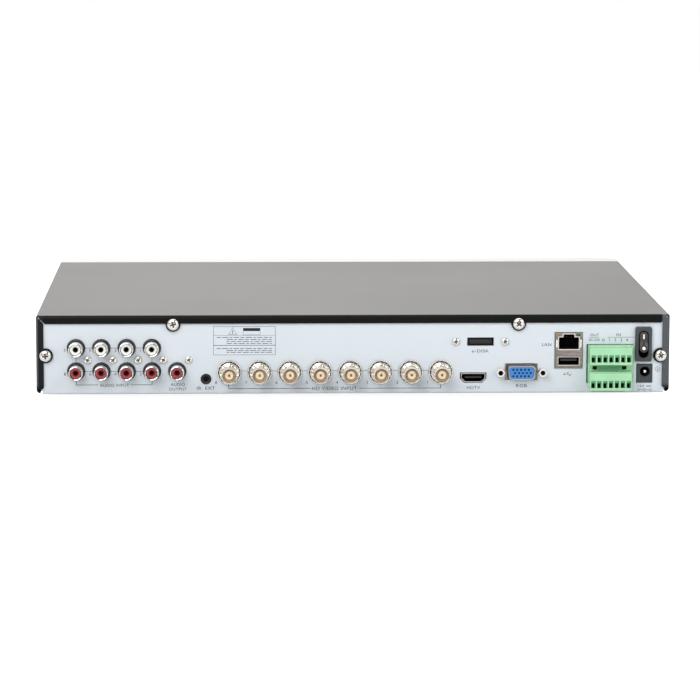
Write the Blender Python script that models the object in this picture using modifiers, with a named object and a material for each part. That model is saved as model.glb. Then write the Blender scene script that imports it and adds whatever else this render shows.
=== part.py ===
"""Eight-channel video recorder: a folded steel case, its rear connector field and what it holds.

Every place is measured from a datum on the outer face of the rear panel, at the underside of
the case and on its centre line: X runs along the panel, Y goes into the case and Z is up.
"""
import math

import bmesh
import bpy
from mathutils import Matrix, Vector

# Case
CASE_WIDTH = 0.375
CASE_DEPTH = 0.285
CASE_HEIGHT = 0.0472
FOOT_HEIGHT = 0.0045
SHEET = 0.001
GAP = 0.0003
COVER_END = 0.263
BEND = 0.0015
LIP_HEIGHT = 0.0050
LIP_WIDTH = 0.00445
MITRE = 0.0004
TAB_RADIUS = 0.0044

# Rear panel
FLOOR_HALF = 0.184
PANEL_HALF = CASE_WIDTH / 2 - SHEET - GAP
PANEL_TOP = CASE_HEIGHT - SHEET - GAP
WALL_Y = COVER_END - 0.0001
BOARD_UNDER = 0.0040
BOARD_TOP = 0.0056
SEAT = BOARD_TOP + GAP
BEHIND = SHEET + GAP

# Rear connectors
RCA_X = -0.16395
RCA_PITCH = 0.0149
RCA_UPPER = 0.0277
RCA_LOWER = 0.01375
RCA_REACH = 0.0093
RCA_SCREW_X = 0.0068
RCA_SCREW_Z = 0.02055
BNC_X = -0.0736
BNC_PITCH = 0.0179
BNC_Z = 0.0129
BNC_REACH = 0.0150
JACK_PLACE = (-0.0874, 0.00895)
DISK_LINK_PLACE = (0.0751, 0.0309)
DIGITAL_PLACE = (0.0709, 0.0093)
ANALOG_PLACE = (0.0994, 0.0128)
NETWORK_X = (0.1194, 0.1356)
NETWORK_Z = (0.0150, 0.0361)
TERMINAL_X = (0.1389, 0.1657)
TERMINAL_Z = (0.0063, 0.0288)
TERMINAL_WINDOW = ((0.1381, 0.1661), (0.0059, 0.0292))
PLUG_X = (0.1391, 0.1640)
PLUG_HEIGHT = 0.0110
PLUG_BASES = {"terminal_plug_upper": 0.0182, "terminal_plug_lower": 0.0029}
PLUG_REACH = 0.0112
SWITCH_PLACE = (0.17185, 0.0293)
SWITCH_SWING = 24.0
POWER_PLACE = (0.1727, 0.01165)
COVER_SCREWS = ((-0.1067, 0.0418), (0.0976, 0.0418), (-0.1819, 0.0233), (0.1820, 0.0226))

# Front
KEY_REACH = 0.0012
BEZEL_WALL = 0.0028
FRONT_BOARD_Y = 0.2715
KEY_CROSS = (0.090, 0.0236)

PANEL_Y = -(CASE_DEPTH + KEY_REACH - BNC_REACH) / 2


def clear_scene():
    """Remove what the file opens with."""
    for obj in list(bpy.data.objects):
        bpy.data.objects.remove(obj, do_unlink=True)


def make_collection(name):
    """A collection under the scene."""
    made = bpy.data.collections.new(name)
    bpy.context.scene.collection.children.link(made)
    return made


clear_scene()
PARTS = make_collection("video_recorder")
CUTTERS = make_collection("cutters")
DATUM = bpy.data.objects.new("rear_panel_datum", None)
DATUM.location = (0.0, PANEL_Y, FOOT_HEIGHT)
PARTS.objects.link(DATUM)


def make_material(name, colour, roughness, metallic=0.0):
    """One Principled material."""
    made = bpy.data.materials.new(name)
    made.use_nodes = True
    surface = made.node_tree.nodes["Principled BSDF"]
    surface.inputs["Base Color"].default_value = (*colour, 1.0)
    surface.inputs["Roughness"].default_value = roughness
    surface.inputs["Metallic"].default_value = metallic
    return made


COVER_PAINT = make_material("cover_paint", (0.055, 0.057, 0.060), 0.45)
PANEL_PAINT = make_material("panel_paint", (0.68, 0.71, 0.75), 0.40)
BEZEL_PLASTIC = make_material("bezel_plastic", (0.05, 0.05, 0.055), 0.35)
BLACK_PLASTIC = make_material("black_plastic", (0.02, 0.02, 0.022), 0.40)
KEY_PLASTIC = make_material("key_plastic", (0.10, 0.10, 0.11), 0.40)
GREEN_PLASTIC = make_material("green_plastic", (0.40, 0.82, 0.46), 0.45)
BLUE_PLASTIC = make_material("blue_plastic", (0.05, 0.23, 0.62), 0.40)
NICKEL = make_material("nickel", (0.78, 0.74, 0.66), 0.25, 1.0)
RUBBER = make_material("rubber", (0.03, 0.03, 0.03), 0.80)
BOARD_GREEN = make_material("board_green", (0.03, 0.18, 0.07), 0.50)
ALUMINIUM = make_material("aluminium", (0.62, 0.63, 0.65), 0.35, 1.0)
CABLE_GREY = make_material("cable_grey", (0.35, 0.35, 0.37), 0.55)
SMOKED = make_material("smoked_window", (0.03, 0.01, 0.015), 0.10)


def place(obj, mat, location, cutter=False):
    """Put an object under the datum, as a part or as a hidden cutter."""
    obj.parent = DATUM
    obj.location = location
    if cutter:
        CUTTERS.objects.link(obj)
        obj.hide_render = True
        obj.display_type = "WIRE"
        return obj
    PARTS.objects.link(obj)
    obj.data.materials.append(mat)
    obj.data.shade_smooth()
    obj.data.set_sharp_from_angle(angle=math.radians(35))
    return obj


def bm_object(bm, name, mat, location=(0, 0, 0), cutter=False):
    """Turn a bmesh into a placed object."""
    mesh = bpy.data.meshes.new(name)
    bm.to_mesh(mesh)
    bm.free()
    return place(bpy.data.objects.new(name, mesh), mat, location, cutter)


def add_block(bm, low, high):
    """A box between two corners, added to a bmesh."""
    size = Vector(high) - Vector(low)
    middle = (Vector(high) + Vector(low)) / 2
    matrix = Matrix.Translation(middle) @ Matrix.Diagonal((*size, 1.0))
    return bmesh.ops.create_cube(bm, size=1.0, matrix=matrix)["verts"]


def add_rod(bm, place_xz, radius, y_from, y_to, sides=16):
    """A cylinder along Y, added to a bmesh."""
    middle = Vector((place_xz[0], (y_from + y_to) / 2, place_xz[1]))
    matrix = Matrix.Translation(middle) @ Matrix.Rotation(math.pi / 2, 4, "X")
    bmesh.ops.create_cone(bm, cap_ends=True, segments=sides, radius1=radius, radius2=radius,
                          depth=abs(y_to - y_from), matrix=matrix)


def block(name, low, high, mat, rounding=0.0, segments=2, cutter=False):
    """A box part, with its edges rounded when a rounding is given."""
    bm = bmesh.new()
    middle = (Vector(high) + Vector(low)) / 2
    add_block(bm, Vector(low) - middle, Vector(high) - middle)
    if rounding:
        bmesh.ops.bevel(bm, geom=bm.edges[:], offset=rounding, segments=segments,
                        profile=0.5, affect="EDGES")
    return bm_object(bm, name, mat, middle, cutter)


def outline_prism(name, points, y_from, y_to, mat, at=(0.0, 0.0), cutter=False):
    """A flat outline in XZ, drawn as a 2D curve and carried from one Y to another."""
    curve = bpy.data.curves.new(name, "CURVE")
    curve.dimensions = "2D"
    curve.fill_mode = "BOTH"
    curve.extrude = abs(y_to - y_from) / 2
    spline = curve.splines.new("POLY")
    spline.points.add(len(points) - 1)
    for point, (x, z) in zip(spline.points, points):
        point.co = (x, z, 0.0, 1.0)
    spline.use_cyclic_u = True
    drawn = bpy.data.objects.new(name + "_outline", curve)
    CUTTERS.objects.link(drawn)
    depsgraph = bpy.context.evaluated_depsgraph_get()
    mesh = bpy.data.meshes.new_from_object(drawn.evaluated_get(depsgraph))
    bpy.data.objects.remove(drawn, do_unlink=True)
    bm = bmesh.new()
    bm.from_mesh(mesh)
    bmesh.ops.remove_doubles(bm, verts=bm.verts[:], dist=1e-6)
    bmesh.ops.rotate(bm, verts=bm.verts[:], matrix=Matrix.Rotation(math.pi / 2, 3, "X"))
    bmesh.ops.recalc_face_normals(bm, faces=bm.faces[:])
    return bm_object(bm, name, mat, (at[0], (y_from + y_to) / 2, at[1]), cutter)


def turned(name, profile, at, y, mat, steps=20, cutter=False):
    """A profile of (radius, reach towards the user) turned about an axis along Y."""
    bm = bmesh.new()
    verts = [bm.verts.new((radius, 0.0, reach)) for radius, reach in profile]
    for first, second in zip(verts, verts[1:]):
        bm.edges.new((first, second))
    obj = bm_object(bm, name, mat, (at[0], y, at[1]), cutter)
    obj.rotation_euler = (math.pi / 2, 0.0, 0.0)
    screw = obj.modifiers.new("turn", "SCREW")
    screw.steps = steps
    screw.render_steps = steps
    screw.use_merge_vertices = True
    screw.merge_threshold = 0.00001
    screw.use_smooth_shade = True
    return obj


def boolean(obj, other, operation):
    """Cut or join with the exact solver."""
    step = obj.modifiers.new(operation.lower(), "BOOLEAN")
    step.operation = operation
    step.solver = "EXACT"
    step.object = other


def solidify(obj):
    """Give an open surface the thickness of the sheet, on its inner side."""
    step = obj.modifiers.new("sheet", "SOLIDIFY")
    step.thickness = SHEET
    step.offset = -1.0
    step.use_even_offset = True
    step.use_quality_normals = True


def arc(centre, radius, start, end, steps):
    """Points of an arc in XZ, angles in degrees."""
    points = []
    for step in range(steps + 1):
        angle = math.radians(start + (end - start) * step / steps)
        points.append((centre[0] + radius * math.cos(angle), centre[1] + radius * math.sin(angle)))
    return points


def rounded_outline(width, height, radius, steps=3):
    """A rectangle about its middle with round corners, or a slot with round ends."""
    points = []
    for side_x, side_z, start in ((1, 1, 0), (-1, 1, 90), (-1, -1, 180), (1, -1, 270)):
        centre = (side_x * (width / 2 - radius), side_z * (height / 2 - radius))
        points += arc(centre, radius, start, start + 90, steps)
    return points


def trapezoid(top, bottom, height, radius, steps=3):
    """The D outline of the analogue video shell, wide side up."""
    corners = ((top / 2, height / 2), (-top / 2, height / 2), (-bottom / 2, -height / 2),
               (bottom / 2, -height / 2))
    points = []
    for index, corner in enumerate(corners):
        spot = Vector(corner)
        before = (Vector(corners[index - 1]) - spot).normalized() * radius
        after = (Vector(corners[(index + 1) % 4]) - spot).normalized() * radius
        for step in range(steps + 1):
            t = step / steps
            bend = spot + before * (1 - t) ** 2 + after * t ** 2
            points.append((bend.x, bend.y))
    return points


def digital_outline(width, height, chamfer):
    """The digital video socket: a slot with its two lower corners cut off."""
    half = width / 2
    low = -height / 2
    return [(half, height / 2), (-half, height / 2), (-half, low + chamfer),
            (-half + chamfer, low), (half - chamfer, low), (half, low + chamfer)]


# Sheet metal

def panel_outline():
    """The rear panel above its fold, with its lower corners cut back."""
    step = PANEL_HALF - FLOOR_HALF
    right = [(FLOOR_HALF, 0.0), (FLOOR_HALF, 0.0020), (PANEL_HALF, 0.0020 + step),
             (PANEL_HALF, PANEL_TOP)]
    return right + [(-x, z) for x, z in reversed(right)]


def chassis_surface():
    """The folded tray as an open surface: floor, rear panel, front wall and side flanges."""
    flange = 0.012
    notch = 0.004
    bm = bmesh.new()
    side = [(0.0, 0.0), (notch, 0.0), (WALL_Y - notch, 0.0), (WALL_Y, 0.0)]
    right = [bm.verts.new((FLOOR_HALF, y, z)) for y, z in side]
    left = [bm.verts.new((-FLOOR_HALF, y, z)) for y, z in side]
    bm.faces.new(right + left[::-1])
    outline = panel_outline()
    rear = [right[0]] + [bm.verts.new((x, 0.0, z)) for x, z in outline[1:-1]] + [left[0]]
    bm.faces.new(rear)
    folds = [bm.edges.get((right[0], left[0])), bm.edges.get((right[3], left[3]))]
    raised = [bm.verts.new((x, WALL_Y, PANEL_TOP)) for x in (-FLOOR_HALF, FLOOR_HALF)]
    bm.faces.new([right[3], left[3], *raised])
    for edge_verts in (right, left):
        edge = bm.edges.get((edge_verts[1], edge_verts[2]))
        folds.append(edge)
        made = bmesh.ops.extrude_edge_only(bm, edges=[edge])["geom"]
        top = [item for item in made if isinstance(item, bmesh.types.BMVert)]
        bmesh.ops.translate(bm, verts=top, vec=(0.0, 0.0, flange))
    bmesh.ops.recalc_face_normals(bm, faces=bm.faces[:])
    bmesh.ops.bevel(bm, geom=folds, offset=0.0012, segments=3, profile=0.5, affect="EDGES")
    floor = min(bm.faces, key=lambda face: face.calc_center_median().z)
    if floor.normal.z > 0:
        bmesh.ops.reverse_faces(bm, faces=bm.faces[:])
    return bm


def panel_openings():
    """Every hole through the rear panel, as one cutter."""
    near, far = -0.003, 0.004
    bm = bmesh.new()
    for place_xz in rca_places():
        add_rod(bm, place_xz, 0.0055, near, far, 16)
    for index in range(5):
        add_rod(bm, rca_screw_place(index), 0.0016, near, far, 12)
    for index in range(8):
        add_rod(bm, bnc_place(index), 0.0051, near, far, 14)
    add_rod(bm, JACK_PLACE, 0.0033, near, far, 16)
    for place_xz in COVER_SCREWS:
        add_rod(bm, place_xz, 0.0018, near, far, 12)
    for side in (-1, 1):
        add_rod(bm, (DISK_LINK_PLACE[0] + side * 0.0146, DISK_LINK_PLACE[1]), 0.0016, near, far, 12)
        add_rod(bm, (ANALOG_PLACE[0] + side * 0.0125, ANALOG_PLACE[1]), 0.0019, near, far, 12)
    windows = (
        window_about(DISK_LINK_PLACE, 0.0158, 0.0050),
        window_about(ANALOG_PLACE, 0.0195, 0.0101),
        window_round(NETWORK_X, NETWORK_Z, 0.0003),
        TERMINAL_WINDOW,
        window_about(SWITCH_PLACE, 0.0090, 0.0196),
        window_about(POWER_PLACE, 0.0097, 0.0115),
    )
    for (x0, x1), (z0, z1) in windows:
        add_block(bm, (x0, near, z0), (x1, far, z1))
    return bm_object(bm, "cut_panel", None, cutter=True)


def window_about(place_xz, width, height):
    """The X and Z spans of a window about its middle."""
    x, z = place_xz
    return (x - width / 2, x + width / 2), (z - height / 2, z + height / 2)


def window_round(span_x, span_z, margin=0.0004):
    """The X and Z spans of a window that clears a connector."""
    return (span_x[0] - margin, span_x[1] + margin), (span_z[0] - margin, span_z[1] + margin)


def board_posts():
    """The posts pressed up from the floor, under the main board."""
    bm = bmesh.new()
    for x in (-0.170, 0.0, 0.170):
        for y in (0.020, 0.120):
            matrix = Matrix.Translation((x, y, (BOARD_UNDER - GAP) / 2 + 0.0002))
            bmesh.ops.create_cone(bm, cap_ends=True, segments=8, radius1=0.0032, radius2=0.0026,
                                  depth=BOARD_UNDER - GAP - 0.0004, matrix=matrix)
    return bm_object(bm, "join_posts", None, cutter=True)


def chassis_base():
    """The folded tray with its openings and posts."""
    tray = bm_object(chassis_surface(), "chassis_base", PANEL_PAINT)
    solidify(tray)
    boolean(tray, board_posts(), "UNION")
    boolean(tray, panel_openings(), "DIFFERENCE")
    cut = outline_prism("cut_digital", digital_outline(0.0158, 0.0063, 0.0026), -0.003, 0.004,
                        None, DIGITAL_PLACE, cutter=True)
    boolean(tray, cut, "DIFFERENCE")
    slot = block("cut_ribbon_slot", (0.092, 0.258, 0.008), (0.124, 0.268, 0.018), None, cutter=True)
    boolean(tray, slot, "DIFFERENCE")
    return tray


def cover_section():
    """The cover's cross-section from one curled hem over the top to the other, in XZ."""
    half = CASE_WIDTH / 2
    curl = 0.0023
    right = arc((half - curl, 0.0030), curl, -90, 0, 4)
    right += [(half, 0.0032), (half, CASE_HEIGHT - BEND - MITRE)]
    right += arc((half - BEND, CASE_HEIGHT - BEND), BEND, 0, 90, 4)
    right += [(half - BEND - MITRE, CASE_HEIGHT)]
    return right + [(-x, z) for x, z in reversed(right)]


def top_lip_outline():
    """The flat of the top lip from its right end to its left: mitred, with two screw tabs."""
    end_x = CASE_WIDTH / 2 - BEND - MITRE
    top = CASE_HEIGHT - BEND
    bottom = CASE_HEIGHT - LIP_HEIGHT
    mitred = end_x - (top - bottom)
    points = [(end_x, top), (mitred, bottom)]
    for x, z in sorted(COVER_SCREWS[:2], reverse=True):
        lean = math.degrees(math.asin((bottom - z) / TAB_RADIUS))
        points += arc((x, z), TAB_RADIUS, lean, -180 - lean, 12)
    return points + [(-mitred, bottom), (-end_x, top)]


def side_lip_outline(hand):
    """The flat of one side lip from its top to its foot, with one screw tab; hand is 1 at the right."""
    outer = CASE_WIDTH / 2 - BEND
    inner = CASE_WIDTH / 2 - LIP_WIDTH
    top = CASE_HEIGHT - BEND - MITRE
    screw_x, z = COVER_SCREWS[3 if hand > 0 else 2]
    x = hand * screw_x
    swing = math.degrees(math.acos((inner - x) / TAB_RADIUS))
    points = [(outer, top), (inner, top - (outer - inner))]
    points += arc((x, z), TAB_RADIUS, swing, 360 - swing, 12)
    points += [(inner, 0.0046), (inner + 0.0004, 0.0036), (inner + 0.0014, 0.0032)]
    points.append((outer, 0.0032))
    return [(hand * across, up) for across, up in points]


def fold_lip(bm, edge, centre, axis, outline):
    """Bend an edge of the cover round to the rear and close the lip with its outline."""
    made = bmesh.ops.spin(bm, geom=[edge, *edge.verts], cent=centre, axis=axis,
                          angle=math.pi / 2, steps=3, use_duplicate=False)["geom_last"]
    ends = [item for item in made if isinstance(item, bmesh.types.BMVert)]
    first = min(ends, key=lambda v: (v.co.x - outline[0][0]) ** 2 + (v.co.z - outline[0][1]) ** 2)
    last = ends[0] if ends[1] is first else ends[1]
    between = [bm.verts.new((x, first.co.y, z)) for x, z in outline[1:-1]]
    bm.faces.new([first, *between, last])


def cover_surface():
    """The cover as an open surface: top, sides, curled hems and the rear lips."""
    bm = bmesh.new()
    start = BEND - BEHIND
    section = [bm.verts.new((x, start, z)) for x, z in cover_section()]
    rear = [bm.edges.new(pair) for pair in zip(section, section[1:])]
    made = bmesh.ops.extrude_edge_only(bm, edges=rear)["geom"]
    far = [item for item in made if isinstance(item, bmesh.types.BMVert)]
    bmesh.ops.translate(bm, verts=far, vec=(0.0, COVER_END - start, 0.0))
    by_length = sorted(rear, key=lambda edge: edge.calc_length(), reverse=True)
    top, sides = by_length[0], by_length[1:3]
    fold_lip(bm, top, (0.0, start, CASE_HEIGHT - BEND), (1.0, 0.0, 0.0), top_lip_outline())
    for edge in sides:
        hand = 1 if edge.verts[0].co.x > 0 else -1
        centre = (hand * (CASE_WIDTH / 2 - BEND), start, 0.0)
        fold_lip(bm, edge, centre, (0.0, 0.0, -hand), side_lip_outline(hand))
    bmesh.ops.recalc_face_normals(bm, faces=bm.faces[:])
    crown = max(bm.faces, key=lambda face: face.calc_center_median().z)
    if crown.normal.z < 0:
        bmesh.ops.reverse_faces(bm, faces=bm.faces[:])
    return bm


def top_cover():
    """The painted cover with its screw holes and its side vents."""
    cover = bm_object(cover_surface(), "top_cover", COVER_PAINT)
    solidify(cover)
    bm = bmesh.new()
    for place_xz in COVER_SCREWS:
        add_rod(bm, place_xz, 0.0018, -0.004, 0.002, 12)
    half = CASE_WIDTH / 2
    for index in range(10):
        y = 0.070 + 0.009 * index
        add_block(bm, (half - 0.004, y, 0.016), (half + 0.002, y + 0.003, 0.036))
        add_block(bm, (-half - 0.002, y, 0.016), (-half + 0.004, y + 0.003, 0.036))
    boolean(cover, bm_object(bm, "cut_cover", None, cutter=True), "DIFFERENCE")
    return cover


# Front

def plan_block(name, low, high, corner, rounding, mat, cutter=False):
    """A block whose two front upright corners are rounded in plan."""
    bm = bmesh.new()
    middle = (Vector(high) + Vector(low)) / 2
    add_block(bm, Vector(low) - middle, Vector(high) - middle)
    front = (Vector(high) - middle).y
    upright = [edge for edge in bm.edges
               if all(abs(v.co.y - front) < 1e-6 for v in edge.verts)
               and abs(edge.verts[0].co.z - edge.verts[1].co.z) > 1e-6]
    bmesh.ops.bevel(bm, geom=upright, offset=corner, segments=6, profile=0.5, affect="EDGES")
    if rounding:
        rims = [edge for edge in bm.edges
                if abs(edge.verts[0].co.z - edge.verts[1].co.z) < 1e-6
                and not all(abs(v.co.y + front) < 1e-6 for v in edge.verts)]
        bmesh.ops.bevel(bm, geom=rims, offset=rounding, segments=2, profile=0.5, affect="EDGES")
    return bm_object(bm, name, mat, middle, cutter)


def key_outlines():
    """Each front key's place, width and height; left and right are as a user at the front sees them."""
    x, z = KEY_CROSS
    return {
        "key_select": (x, z, 0.0080, 0.0060),
        "key_up": (x, z + 0.0100, 0.0080, 0.0060),
        "key_down": (x, z - 0.0100, 0.0080, 0.0060),
        "key_left": (x + 0.0120, z, 0.0080, 0.0060),
        "key_right": (x - 0.0120, z, 0.0080, 0.0060),
        "key_menu": (x + 0.0300, z, 0.0110, 0.0060),
        "key_power": (x + 0.0550, z, 0.0110, 0.0110),
    }


WINDOW_SPAN = ((-0.120, -0.080), (0.0186, 0.0286))
USB_SPAN = ((-0.0565, -0.0432), (0.0205, 0.0264))


def front_bezel():
    """The moulded front with its openings, hollow from behind."""
    half = CASE_WIDTH / 2
    start = COVER_END + GAP
    wall = 0.0022
    bezel = plan_block("front_bezel", (-half, start, 0.0), (half, CASE_DEPTH, CASE_HEIGHT),
                       0.0085, 0.0012, BEZEL_PLASTIC)
    hollow = plan_block("cut_bezel", (-half + wall, start - 0.004, wall),
                        (half - wall, CASE_DEPTH - BEZEL_WALL, CASE_HEIGHT - wall), 0.0065, 0.0,
                        None, cutter=True)
    boolean(bezel, hollow, "DIFFERENCE")
    near, far = CASE_DEPTH - BEZEL_WALL - 0.002, CASE_DEPTH + 0.002
    bm = bmesh.new()
    for x, z, width, height in key_outlines().values():
        spans = window_about((x, z), width + 0.0008, height + 0.0008)
        add_block(bm, (spans[0][0], near, spans[1][0]), (spans[0][1], far, spans[1][1]))
    for span_x, span_z in (WINDOW_SPAN, USB_SPAN):
        (x0, x1), (z0, z1) = window_round(span_x, span_z)
        add_block(bm, (x0, near, z0), (x1, far, z1))
    boolean(bezel, bm_object(bm, "cut_front", None, cutter=True), "DIFFERENCE")
    return bezel


def front_keys():
    """The sprung keys: a cap, a retaining flange behind the bezel and a stem to its switch."""
    inner = CASE_DEPTH - BEZEL_WALL
    for name, (x, z, width, height) in key_outlines().items():
        cap = outline_prism(name, rounded_outline(width, height, 0.0012, 2), inner - 0.0012,
                            CASE_DEPTH + KEY_REACH, KEY_PLASTIC, (x, z))
        flange = block(name + "_flange", (x - width / 2 - 0.0008, inner - 0.0016, z - height / 2 - 0.0008),
                       (x + width / 2 + 0.0008, inner - GAP, z + height / 2 + 0.0008), None,
                       cutter=True)
        stem = block(name + "_stem", (x - 0.0015, FRONT_BOARD_Y + 0.0027, z - 0.0015),
                     (x + 0.0015, inner - 0.0010, z + 0.0015), None, cutter=True)
        boolean(cap, flange, "UNION")
        boolean(cap, stem, "UNION")


def front_parts():
    """What sits behind the bezel."""
    (x0, x1), (z0, z1) = WINDOW_SPAN
    block("receiver_window", (x0, CASE_DEPTH - BEZEL_WALL, z0), (x1, CASE_DEPTH + 0.0002, z1),
          SMOKED, 0.0004)
    (x0, x1), (z0, z1) = USB_SPAN
    board_face = FRONT_BOARD_Y + 0.0016
    shell = block("front_data_port", (x0, board_face + GAP, z0), (x1, CASE_DEPTH, z1), NICKEL)
    mouth = block("cut_front_port", (x0 + 0.0005, board_face + 0.0020, z0 + 0.0005),
                  (x1 - 0.0005, CASE_DEPTH + 0.002, z1 - 0.0005), None, cutter=True)
    boolean(shell, mouth, "DIFFERENCE")
    tongue = block("join_front_tongue", (x0 + 0.0010, board_face + 0.0012, z0 + 0.0026),
                   (x1 - 0.0010, CASE_DEPTH - 0.0020, z0 + 0.0044), None, cutter=True)
    boolean(shell, tongue, "UNION")
    block("front_board", (-0.075, FRONT_BOARD_Y, 0.0050), (0.165, board_face, 0.0420), BOARD_GREEN)


# Fasteners and feet

def pan_screw(name, at, y, head, height, shank, length, sides):
    """A pan-head screw pointing into the case."""
    profile = [(0.0, height), (head * 0.50, height * 0.96), (head * 0.86, height * 0.66),
               (head, height * 0.22), (head, 0.0), (shank, 0.0), (shank, -length), (0.0, -length)]
    return turned(name, profile, at, y, NICKEL, sides)


def fasteners():
    """The cover screws and the screws that hold the connectors to the panel."""
    for index, at in enumerate(COVER_SCREWS):
        pan_screw(f"cover_screw_{index + 1}", at, -BEHIND - GAP, 0.0036, 0.0022, 0.0015, 0.0065, 16)
    for index in range(5):
        pan_screw(f"rca_screw_{index + 1}", rca_screw_place(index), -GAP, 0.00245, 0.0014, 0.0013,
                  0.0065, 12)
    for index, side in enumerate((-1, 1)):
        at = (DISK_LINK_PLACE[0] + side * 0.0146, DISK_LINK_PLACE[1])
        pan_screw(f"disk_link_screw_{index + 1}", at, -GAP, 0.0025, 0.0014, 0.0013, 0.0050, 12)


def feet():
    """Four rubber feet under the floor, set in from its edges."""
    top = -GAP
    profile = [(0.0, top), (0.0070, top), (0.0080, -0.0020), (0.0076, -FOOT_HEIGHT + 0.0005),
               (0.0071, -FOOT_HEIGHT), (0.0, -FOOT_HEIGHT)]
    places = [(x, y) for y in (0.042, 0.236) for x in (-0.150, 0.150)]
    for index, (x, y) in enumerate(places):
        foot = turned(f"foot_{index + 1}", profile, (x, 0.0), y, RUBBER, 16)
        foot.rotation_euler = (0.0, 0.0, 0.0)


# Rear connectors

def rca_places():
    """The nine phono jacks: four pairs, then one in the lower row."""
    places = []
    for index in range(5):
        x = RCA_X + RCA_PITCH * index
        places.append((x, RCA_LOWER))
        if index < 4:
            places.append((x, RCA_UPPER))
    return places


def rca_screw_place(index):
    """The screw beside each phono block."""
    return (RCA_X + RCA_PITCH * index + RCA_SCREW_X, RCA_SCREW_Z)


def rca_block(index):
    """A moulded phono block: its body with a screw ear, and one or two jacks."""
    x = RCA_X + RCA_PITCH * index
    rows = (RCA_LOWER, RCA_UPPER) if index < 4 else (RCA_LOWER,)
    left, right, ear = -0.0065, 0.0042, 0.0080
    low, ear_low, ear_high = SEAT, RCA_SCREW_Z - 0.0035, RCA_SCREW_Z + 0.0035
    high = 0.0345 if index < 4 else ear_high
    points = [(left, low), (right, low), (right, ear_low), (ear, ear_low), (ear, ear_high)]
    points += [(right, ear_high), (right, high), (left, high)] if high > ear_high else [(left, high)]
    name = f"rca_block_{index + 1}"
    body = outline_prism(name, points, BEHIND, 0.0130, BLACK_PLASTIC, (x, 0.0))
    collar, sleeve, bore = 0.0052, 0.0042, 0.0016
    profile = [(0.0, 0.0015), (bore, 0.0015), (bore, RCA_REACH), (sleeve, RCA_REACH),
               (sleeve, 0.0018), (collar, 0.0018), (collar, -0.0060), (0.0, -0.0060)]
    for row in rows:
        jack = turned(f"{name}_jack", profile, (x, row), 0.0, None, 16, cutter=True)
        boolean(body, jack, "UNION")
    bm = bmesh.new()
    add_rod(bm, rca_screw_place(index), 0.0017, -0.001, 0.016, 12)
    boolean(body, bm_object(bm, f"{name}_screw_hole", None, cutter=True), "DIFFERENCE")


def bnc_place(index):
    """The bayonet sockets, from left to right."""
    return (BNC_X + BNC_PITCH * index, BNC_Z)


def bnc_socket(index):
    """A bayonet video socket: body, toothed washer, boss, barrel, insulator post and two lugs."""
    profile = [(0.0, 0.0132), (0.0024, 0.0132), (0.0024, 0.0060), (0.0041, 0.0060),
               (0.0041, BNC_REACH), (0.0048, BNC_REACH), (0.0048, 0.0030), (0.0066, 0.0030),
               (0.0066, 0.0012),
               (0.0074, 0.0012), (0.0074, GAP), (0.0047, GAP), (0.0047, -BEHIND),
               (0.0066, -BEHIND), (0.0066, -0.0130), (0.0, -0.0130)]
    at = bnc_place(index)
    name = f"bnc_socket_{index + 1}"
    socket = turned(name, profile, at, 0.0, NICKEL, 14)
    reach = BNC_REACH - 0.0036
    for side in (-1, 1):
        low = (at[0] + side * 0.0051 - 0.0006, -reach - 0.0009, at[1] - 0.0009)
        high = (at[0] + side * 0.0051 + 0.0006, -reach + 0.0009, at[1] + 0.0009)
        boolean(socket, block(f"{name}_lug", low, high, None, cutter=True), "UNION")


def remote_jack():
    """The round remote-control jack."""
    x, z = JACK_PLACE
    nose, bore = 0.0029, 0.0018
    jack = block("remote_jack", (x - 0.0031, BEHIND, SEAT), (x + 0.0031, 0.0140, 0.0122),
                 BLACK_PLASTIC)
    profile = [(0.0, GAP), (nose, GAP), (nose, -0.0030), (0.0, -0.0030)]
    boolean(jack, turned("join_jack_nose", profile, JACK_PLACE, 0.0, None, 16, cutter=True), "UNION")
    bm = bmesh.new()
    add_rod(bm, JACK_PLACE, bore, -0.002, 0.010, 12)
    boolean(jack, bm_object(bm, "cut_jack_bore", None, cutter=True), "DIFFERENCE")


def disk_link():
    """The external disk socket: a plate behind the panel, its nose and its tongue."""
    x, z = DISK_LINK_PLACE
    plate = block("disk_link_port", (x - 0.0180, BEHIND, z - 0.0044),
                  (x + 0.0180, 0.0035, z + 0.0044), BLACK_PLASTIC)
    nose = block("join_link_nose", (x - 0.0076, 0.0, z - 0.0022), (x + 0.0076, 0.0120, z + 0.0022),
                 None, cutter=True)
    mouth = block("cut_link_mouth", (x - 0.0067, -0.002, z - 0.0016),
                  (x + 0.0067, 0.0090, z + 0.0016), None, cutter=True)
    tongue = block("join_link_tongue", (x - 0.0050, 0.0012, z + 0.0001),
                   (x + 0.0050, 0.0100, z + 0.0012), None, cutter=True)
    boolean(plate, nose, "UNION")
    boolean(plate, mouth, "DIFFERENCE")
    boolean(plate, tongue, "UNION")
    bm = bmesh.new()
    for side in (-1, 1):
        add_rod(bm, (x + side * 0.0146, z), 0.0016, -0.001, 0.006, 12)
    boolean(plate, bm_object(bm, "cut_link_holes", None, cutter=True), "DIFFERENCE")


def digital_port():
    """The digital video socket: a folded shell with a tongue."""
    shell = outline_prism("digital_video_port", digital_outline(0.0142, 0.0053, 0.0021), 0.0,
                          0.0120, NICKEL, DIGITAL_PLACE)
    mouth = outline_prism("cut_digital_mouth", digital_outline(0.0132, 0.0043, 0.0019), -0.002,
                          0.0100, None, DIGITAL_PLACE, cutter=True)
    x, z = DIGITAL_PLACE
    tongue = block("join_digital_tongue", (x - 0.0052, 0.0015, z - 0.0003),
                   (x + 0.0052, 0.0110, z + 0.0008), None, cutter=True)
    boolean(shell, mouth, "DIFFERENCE")
    boolean(shell, tongue, "UNION")


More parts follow.
